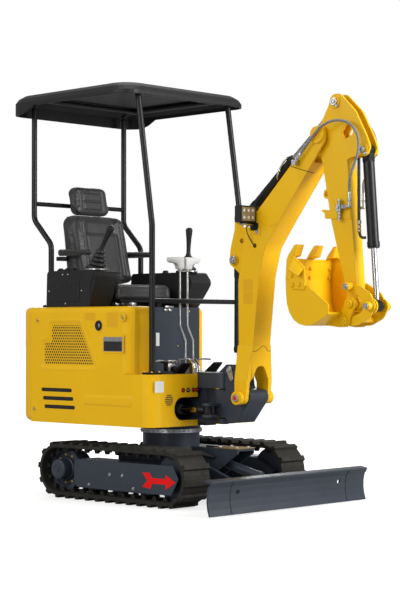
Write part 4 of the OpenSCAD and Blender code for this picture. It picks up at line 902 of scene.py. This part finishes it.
# blade: wing seams and hinges, cover over the cylinder, hoses
WING_Y = 0.48
BLADE_SEAM = [(0.9462, 0.01), (0.9352, 0.04), (0.9292, 0.08), (0.9302, 0.12), (0.9382, 0.155),
    (0.9575, 0.183)]
for side, word in SIDES:
    hinge = side * WING_Y
    tubes("wing_seam_" + word, [[(x, hinge, z) for x, z in BLADE_SEAM]], 0.0018, "blade", DARK, 8, 4)
    bm = bmesh.new()
    for z in (0.052, 0.15):
        lathe(bm, frame_on(at(0.908, hinge - 0.03, z), LEFT), [(0, 0), (0.01, 0), (0.01, 0.06), (0, 0.06)],
            16)
        block(bm, at(0.906, hinge - 0.026, z - 0.014), at(0.918, hinge + 0.026, z + 0.014), 0.003, 1)
    piece("wing_hinge_" + word, bm, "blade", SLATE)
blocks("blade_cover", [((0.416, -0.074, 0.3115), (0.604, 0.074, 0.318))], 0.002, 2, "undercarriage", TAN)
bolts("blade_cover_bolts", [(x, y, 0.3178) for x in (0.445, 0.575) for y in (-0.048, 0.048)], TOP,
    "undercarriage", ZINC, 0.008, 0.007)
ring = [Vector((math.cos(math.radians(10 * i)), math.sin(math.radians(10 * i)), 0)) for i in range(36)]
turned("slew_ring_bolts", [((0.18 * a.x, 0.18 * a.y, 0.397), a, stud(0.0045, 0.004), 16) for a in ring],
       "undercarriage", STEEL, 50)
tubes("blade_hose_pair", [[(0.232, y, 0.285), (0.262, y, 0.292), (0.3, y - 0.004, 0.3),
    (0.345, y - 0.008, 0.29), (0.39, y + 0.01, 0.272), (0.425, y + 0.04, 0.262)] for y in (-0.095, -0.12)],
    0.009, "undercarriage", HOSE_BLACK)


# seat: sewn covers swollen by a cloth simulation
CLOTH_STEPS = 20


def apply_all(thing):
    """Bakes a piece's modifiers into its mesh."""
    bpy.context.view_layer.update()
    graph = bpy.context.evaluated_depsgraph_get()
    mesh = bpy.data.meshes.new_from_object(thing.evaluated_get(graph))
    old = thing.data
    thing.modifiers.clear()
    thing.data = mesh
    bpy.data.meshes.remove(old)
    for polygon in mesh.polygons:
        polygon.use_smooth = True


def round_shoulders(thing, radius, foot):
    """Rounds the corners of a pad as seen from the front by drawing its ends in towards the sides."""
    points = [v.co for v in thing.data.vertices]
    wide = max(abs(p.y) for p in points)
    low, high = min(p.z for p in points), max(p.z for p in points)
    reach = min(2.2 * radius, (high - low) / 2)
    for p in points:
        over = abs(p.y) - (wide - radius)
        if over <= 0:
            continue
        drop = radius - math.sqrt(max(0.0, radius ** 2 - over ** 2))
        if p.z > high - reach:
            p.z -= drop * (p.z - high + reach) / reach
        elif foot and p.z < low + reach:
            p.z += drop * (low + reach - p.z) / reach


def swell(thing, held, cap):
    """Blows a cover up by inner pressure, with no point moved by more than cap."""
    rest = [v.co.copy() for v in thing.data.vertices]
    group = thing.vertex_groups.new(name="held")
    group.add([v.index for v in thing.data.vertices if held(v.co)], 1.0, "REPLACE")
    cloth = thing.modifiers.new("cloth", "CLOTH")
    cloth.settings.quality = 4
    cloth.settings.mass = 0.3
    cloth.settings.use_pressure = True
    cloth.settings.uniform_pressure_force = 4.0
    cloth.settings.effector_weights.gravity = 0
    cloth.settings.vertex_group_mass = "held"
    cloth.point_cache.frame_start = 1
    cloth.point_cache.frame_end = CLOTH_STEPS
    for step in range(1, CLOTH_STEPS + 1):
        scene.frame_set(step)
    apply_all(thing)
    scene.frame_set(1)
    for v, p in zip(thing.data.vertices, rest):
        move = v.co - p
        if move.length > cap:
            v.co = p + move * (cap / move.length)
    thing.vertex_groups.clear()


def padded(name, outline, y0, y1, cap, held, voxel=0.0055, shoulder=None):
    """A pad with an outline in X and Z; held says which points stay where they are.

    shoulder is (radius, round the foot too): the rounding of the corners seen from the front."""
    bm = bmesh.new()
    m = Matrix.Translation((0, y1, 0)) @ Matrix.Rotation(math.radians(90), 4, "X")
    prism(bm, [(x - ORIGIN_X, z) for x, z in outline], m, y1 - y0)
    bmesh.ops.recalc_face_normals(bm, faces=bm.faces)
    edges = list({e for f in bm.faces if abs(f.normal.y) > 0.9 for e in f.edges})
    bmesh.ops.bevel(bm, geom=edges, offset=0.026, segments=4, profile=0.5, affect="EDGES")
    made = piece(name, bm, "upper", VINYL, 180)
    remesh = made.modifiers.new("remesh", "REMESH")
    remesh.mode = "VOXEL"
    remesh.voxel_size = voxel
    apply_all(made)
    if shoulder:
        round_shoulders(made, *shoulder)
    swell(made, held, cap)
    return made


def sew(thing, lines, faces, depth, width=0.006):
    """Presses sewn lines into the side of a pad that faces along faces.

    The lines run in Y and Z, or in Y and X on top."""
    normals = [v.normal.copy() for v in thing.data.vertices]
    for v, n in zip(thing.data.vertices, normals):
        if n.dot(faces) < 0.35:
            continue
        p = Vector((v.co.y, v.co.z if abs(faces.z) < 0.8 else v.co.x))
        near = 9.0
        for a, b in lines:
            a, b = Vector(a), Vector(b)
            t = max(0.0, min(1.0, (p - a).dot(b - a) / (b - a).length_squared))
            near = min(near, (p - a - (b - a) * t).length)
        v.co -= n * depth * math.exp(-(near / width) ** 2)


def finish_pad(thing, node=None):
    smooth = thing.modifiers.new("smooth", "SUBSURF")
    smooth.levels = smooth.render_levels = 1
    apply_all(thing)
    thing.data.materials.clear()
    thing.data.materials.append(VINYL)
    if node:
        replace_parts(thing, node)


def box_lines(y0, y1, z0, z1):
    return [((y0, z0), (y1, z0)), ((y1, z0), (y1, z1)), ((y1, z1), (y0, z1)), ((y0, z1), (y0, z0))]


LEAN = Vector((0.976, 0, 0.219))
cushion = padded("seat_cushion_cover", rounded_outline([(-0.601, 1.1665), (-0.223, 1.1665), (-0.223, 1.25),
    (-0.596, 1.24)], 0.028), -0.231, 0.231, 0.008, lambda p: p.z < 1.176)
sew(cushion, box_lines(-0.15, 0.15, -0.55 - ORIGIN_X, -0.261 - ORIGIN_X), TOP, 0.007)
sew(cushion, [((-0.15, -0.405 - ORIGIN_X), (0.15, -0.405 - ORIGIN_X))], TOP, 0.006)
finish_pad(cushion, "seat_cushion")
back = padded("seat_back_cover", rounded_outline([(-0.697, 1.274), (-0.541, 1.274), (-0.631, 1.686),
    (-0.75, 1.686)], 0.034), -0.213, 0.213, 0.006, lambda p: p.x < -0.735 - ORIGIN_X + (1.672 - p.z) * 0.13,
    shoulder=(0.062, False))
HOLLOW_Y, HOLLOW_EDGE, HOLLOW_DEPTH = 0.15, 0.04, 0.014
for v in back.data.vertices:
    edge = abs(v.co.y)
    if v.normal.dot(LEAN) > 0.3 and edge < HOLLOW_Y:
        v.co -= LEAN * HOLLOW_DEPTH * max(0.0, min(1.0, (HOLLOW_Y - edge) / HOLLOW_EDGE))
sew(back, box_lines(-0.12, 0.12, 1.33, 1.572), LEAN, 0.006)
sew(back, [((y, 1.29), (y, 1.66)) for y in (-0.155, 0.155)], LEAN, 0.006)
finish_pad(back, "seat_back")
head = padded("headrest_cover", rounded_outline([(-0.757, 1.692), (-0.683, 1.692), (-0.714, 1.87),
    (-0.785, 1.87)], 0.024), -0.142, 0.142, 0.004, lambda p: p.z < 1.7, shoulder=(0.052, True))
sew(head, box_lines(-0.078, 0.078, 1.728, 1.836) + [((-0.078, 1.782), (0.078, 1.782))], LEAN, 0.006, 0.005)
finish_pad(head, "headrest")
for word, y0, y1, node in (("right", -0.2795, -0.2345, "armrests"), ("left", 0.2345, 0.2795, None)):
    rest = padded("armrest_cover_" + word, rounded_outline([(-0.716, 1.433), (-0.424, 1.433),
        (-0.424, 1.467), (-0.716, 1.476)], 0.016), y0, y1, 0.005, lambda p: p.z < 1.434, 0.0045)
    finish_pad(rest, node)


# floor, background and light
FLOOR_NEAR, FLOOR_FAR = 0.66, 1.0
FLOOR_HALF = 60


def light_path(tree):
    return tree.nodes.new("ShaderNodeLightPath").outputs


def stage_floor():
    """A flat pale floor that fades to white away from the object."""
    bm = bmesh.new()
    bm.faces.new([bm.verts.new((x * FLOOR_HALF, y * FLOOR_HALF, 0)) for x,
        y in ((-1, -1), (1, -1), (1, 1), (-1, 1))])
    mesh = bpy.data.meshes.new("floor")
    bm.to_mesh(mesh)
    bm.free()
    made = bpy.data.objects.new("floor", mesh)
    scene.collection.objects.link(made)
    material, tree, shader, _ = new_material("floor_paint")
    away = tree.nodes.new("ShaderNodeVectorMath")
    away.operation = "LENGTH"
    put(tree, away, {0: tree.nodes.new("ShaderNodeNewGeometry").outputs["Position"]})
    fade = add(tree, "MapRange", {"From Min": 0.9, "From Max": 3.2, "To Min": FLOOR_NEAR,
        "To Max": FLOOR_FAR, "Value": away.outputs["Value"]})
    lift = add(tree, "Math", {0: light_path(tree)["Is Camera Ray"], 1: fade.outputs["Result"]})
    lift.operation = "MULTIPLY"
    put(tree, shader, {"Base Color": (0.4, 0.4, 0.4, 1), "Roughness": 0.9, "Specular IOR Level": 0.1,
        "Emission Color": (1, 1, 1, 1), "Emission Strength": lift.outputs[0]})
    mesh.materials.append(material)


def stage_world():
    world = bpy.data.worlds.new("world")
    scene.world = world
    world.use_nodes = True
    tree = world.node_tree
    rays = light_path(tree)
    seen = add(tree, "Math", {0: rays["Is Camera Ray"], 1: rays["Is Transmission Ray"]})
    seen.operation = "MAXIMUM"
    level = add(tree, "MapRange", {"To Min": 0.42, "To Max": 1.0, "Value": seen.outputs[0]})
    put(tree, tree.nodes["Background"], {"Color": (1, 1, 1, 1), "Strength": level.outputs["Result"]})


def lamp(name, place, target, size, watts):
    data = bpy.data.lights.new(name, "AREA")
    data.shape = "RECTANGLE"
    data.size, data.size_y = size
    data.energy = watts
    made = bpy.data.objects.new(name, data)
    scene.collection.objects.link(made)
    made.location = place
    made.rotation_euler = (Vector(target) - Vector(place)).to_track_quat("-Z", "Y").to_euler()


stage_floor()
stage_world()
lamp("key", (5.6, 1.6, 3.2), (0.2, 0, 1.1), (3.0, 4.0), 430)
lamp("side", (-1.8, -6.5, 4.0), (0, 0, 1.0), (4.0, 3.0), 165)
lamp("strip", (1.7, -5.6, 1.7), (0, 0, 1.0), (0.5, 3.2), 60)
lamp("top", (-0.6, 0.4, 6.0), (0, 0, 1.0), (4.0, 4.0), 140)
lamp("back", (-5.0, 4.5, 3.5), (0, 0, 1.2), (3.0, 3.0), 140)
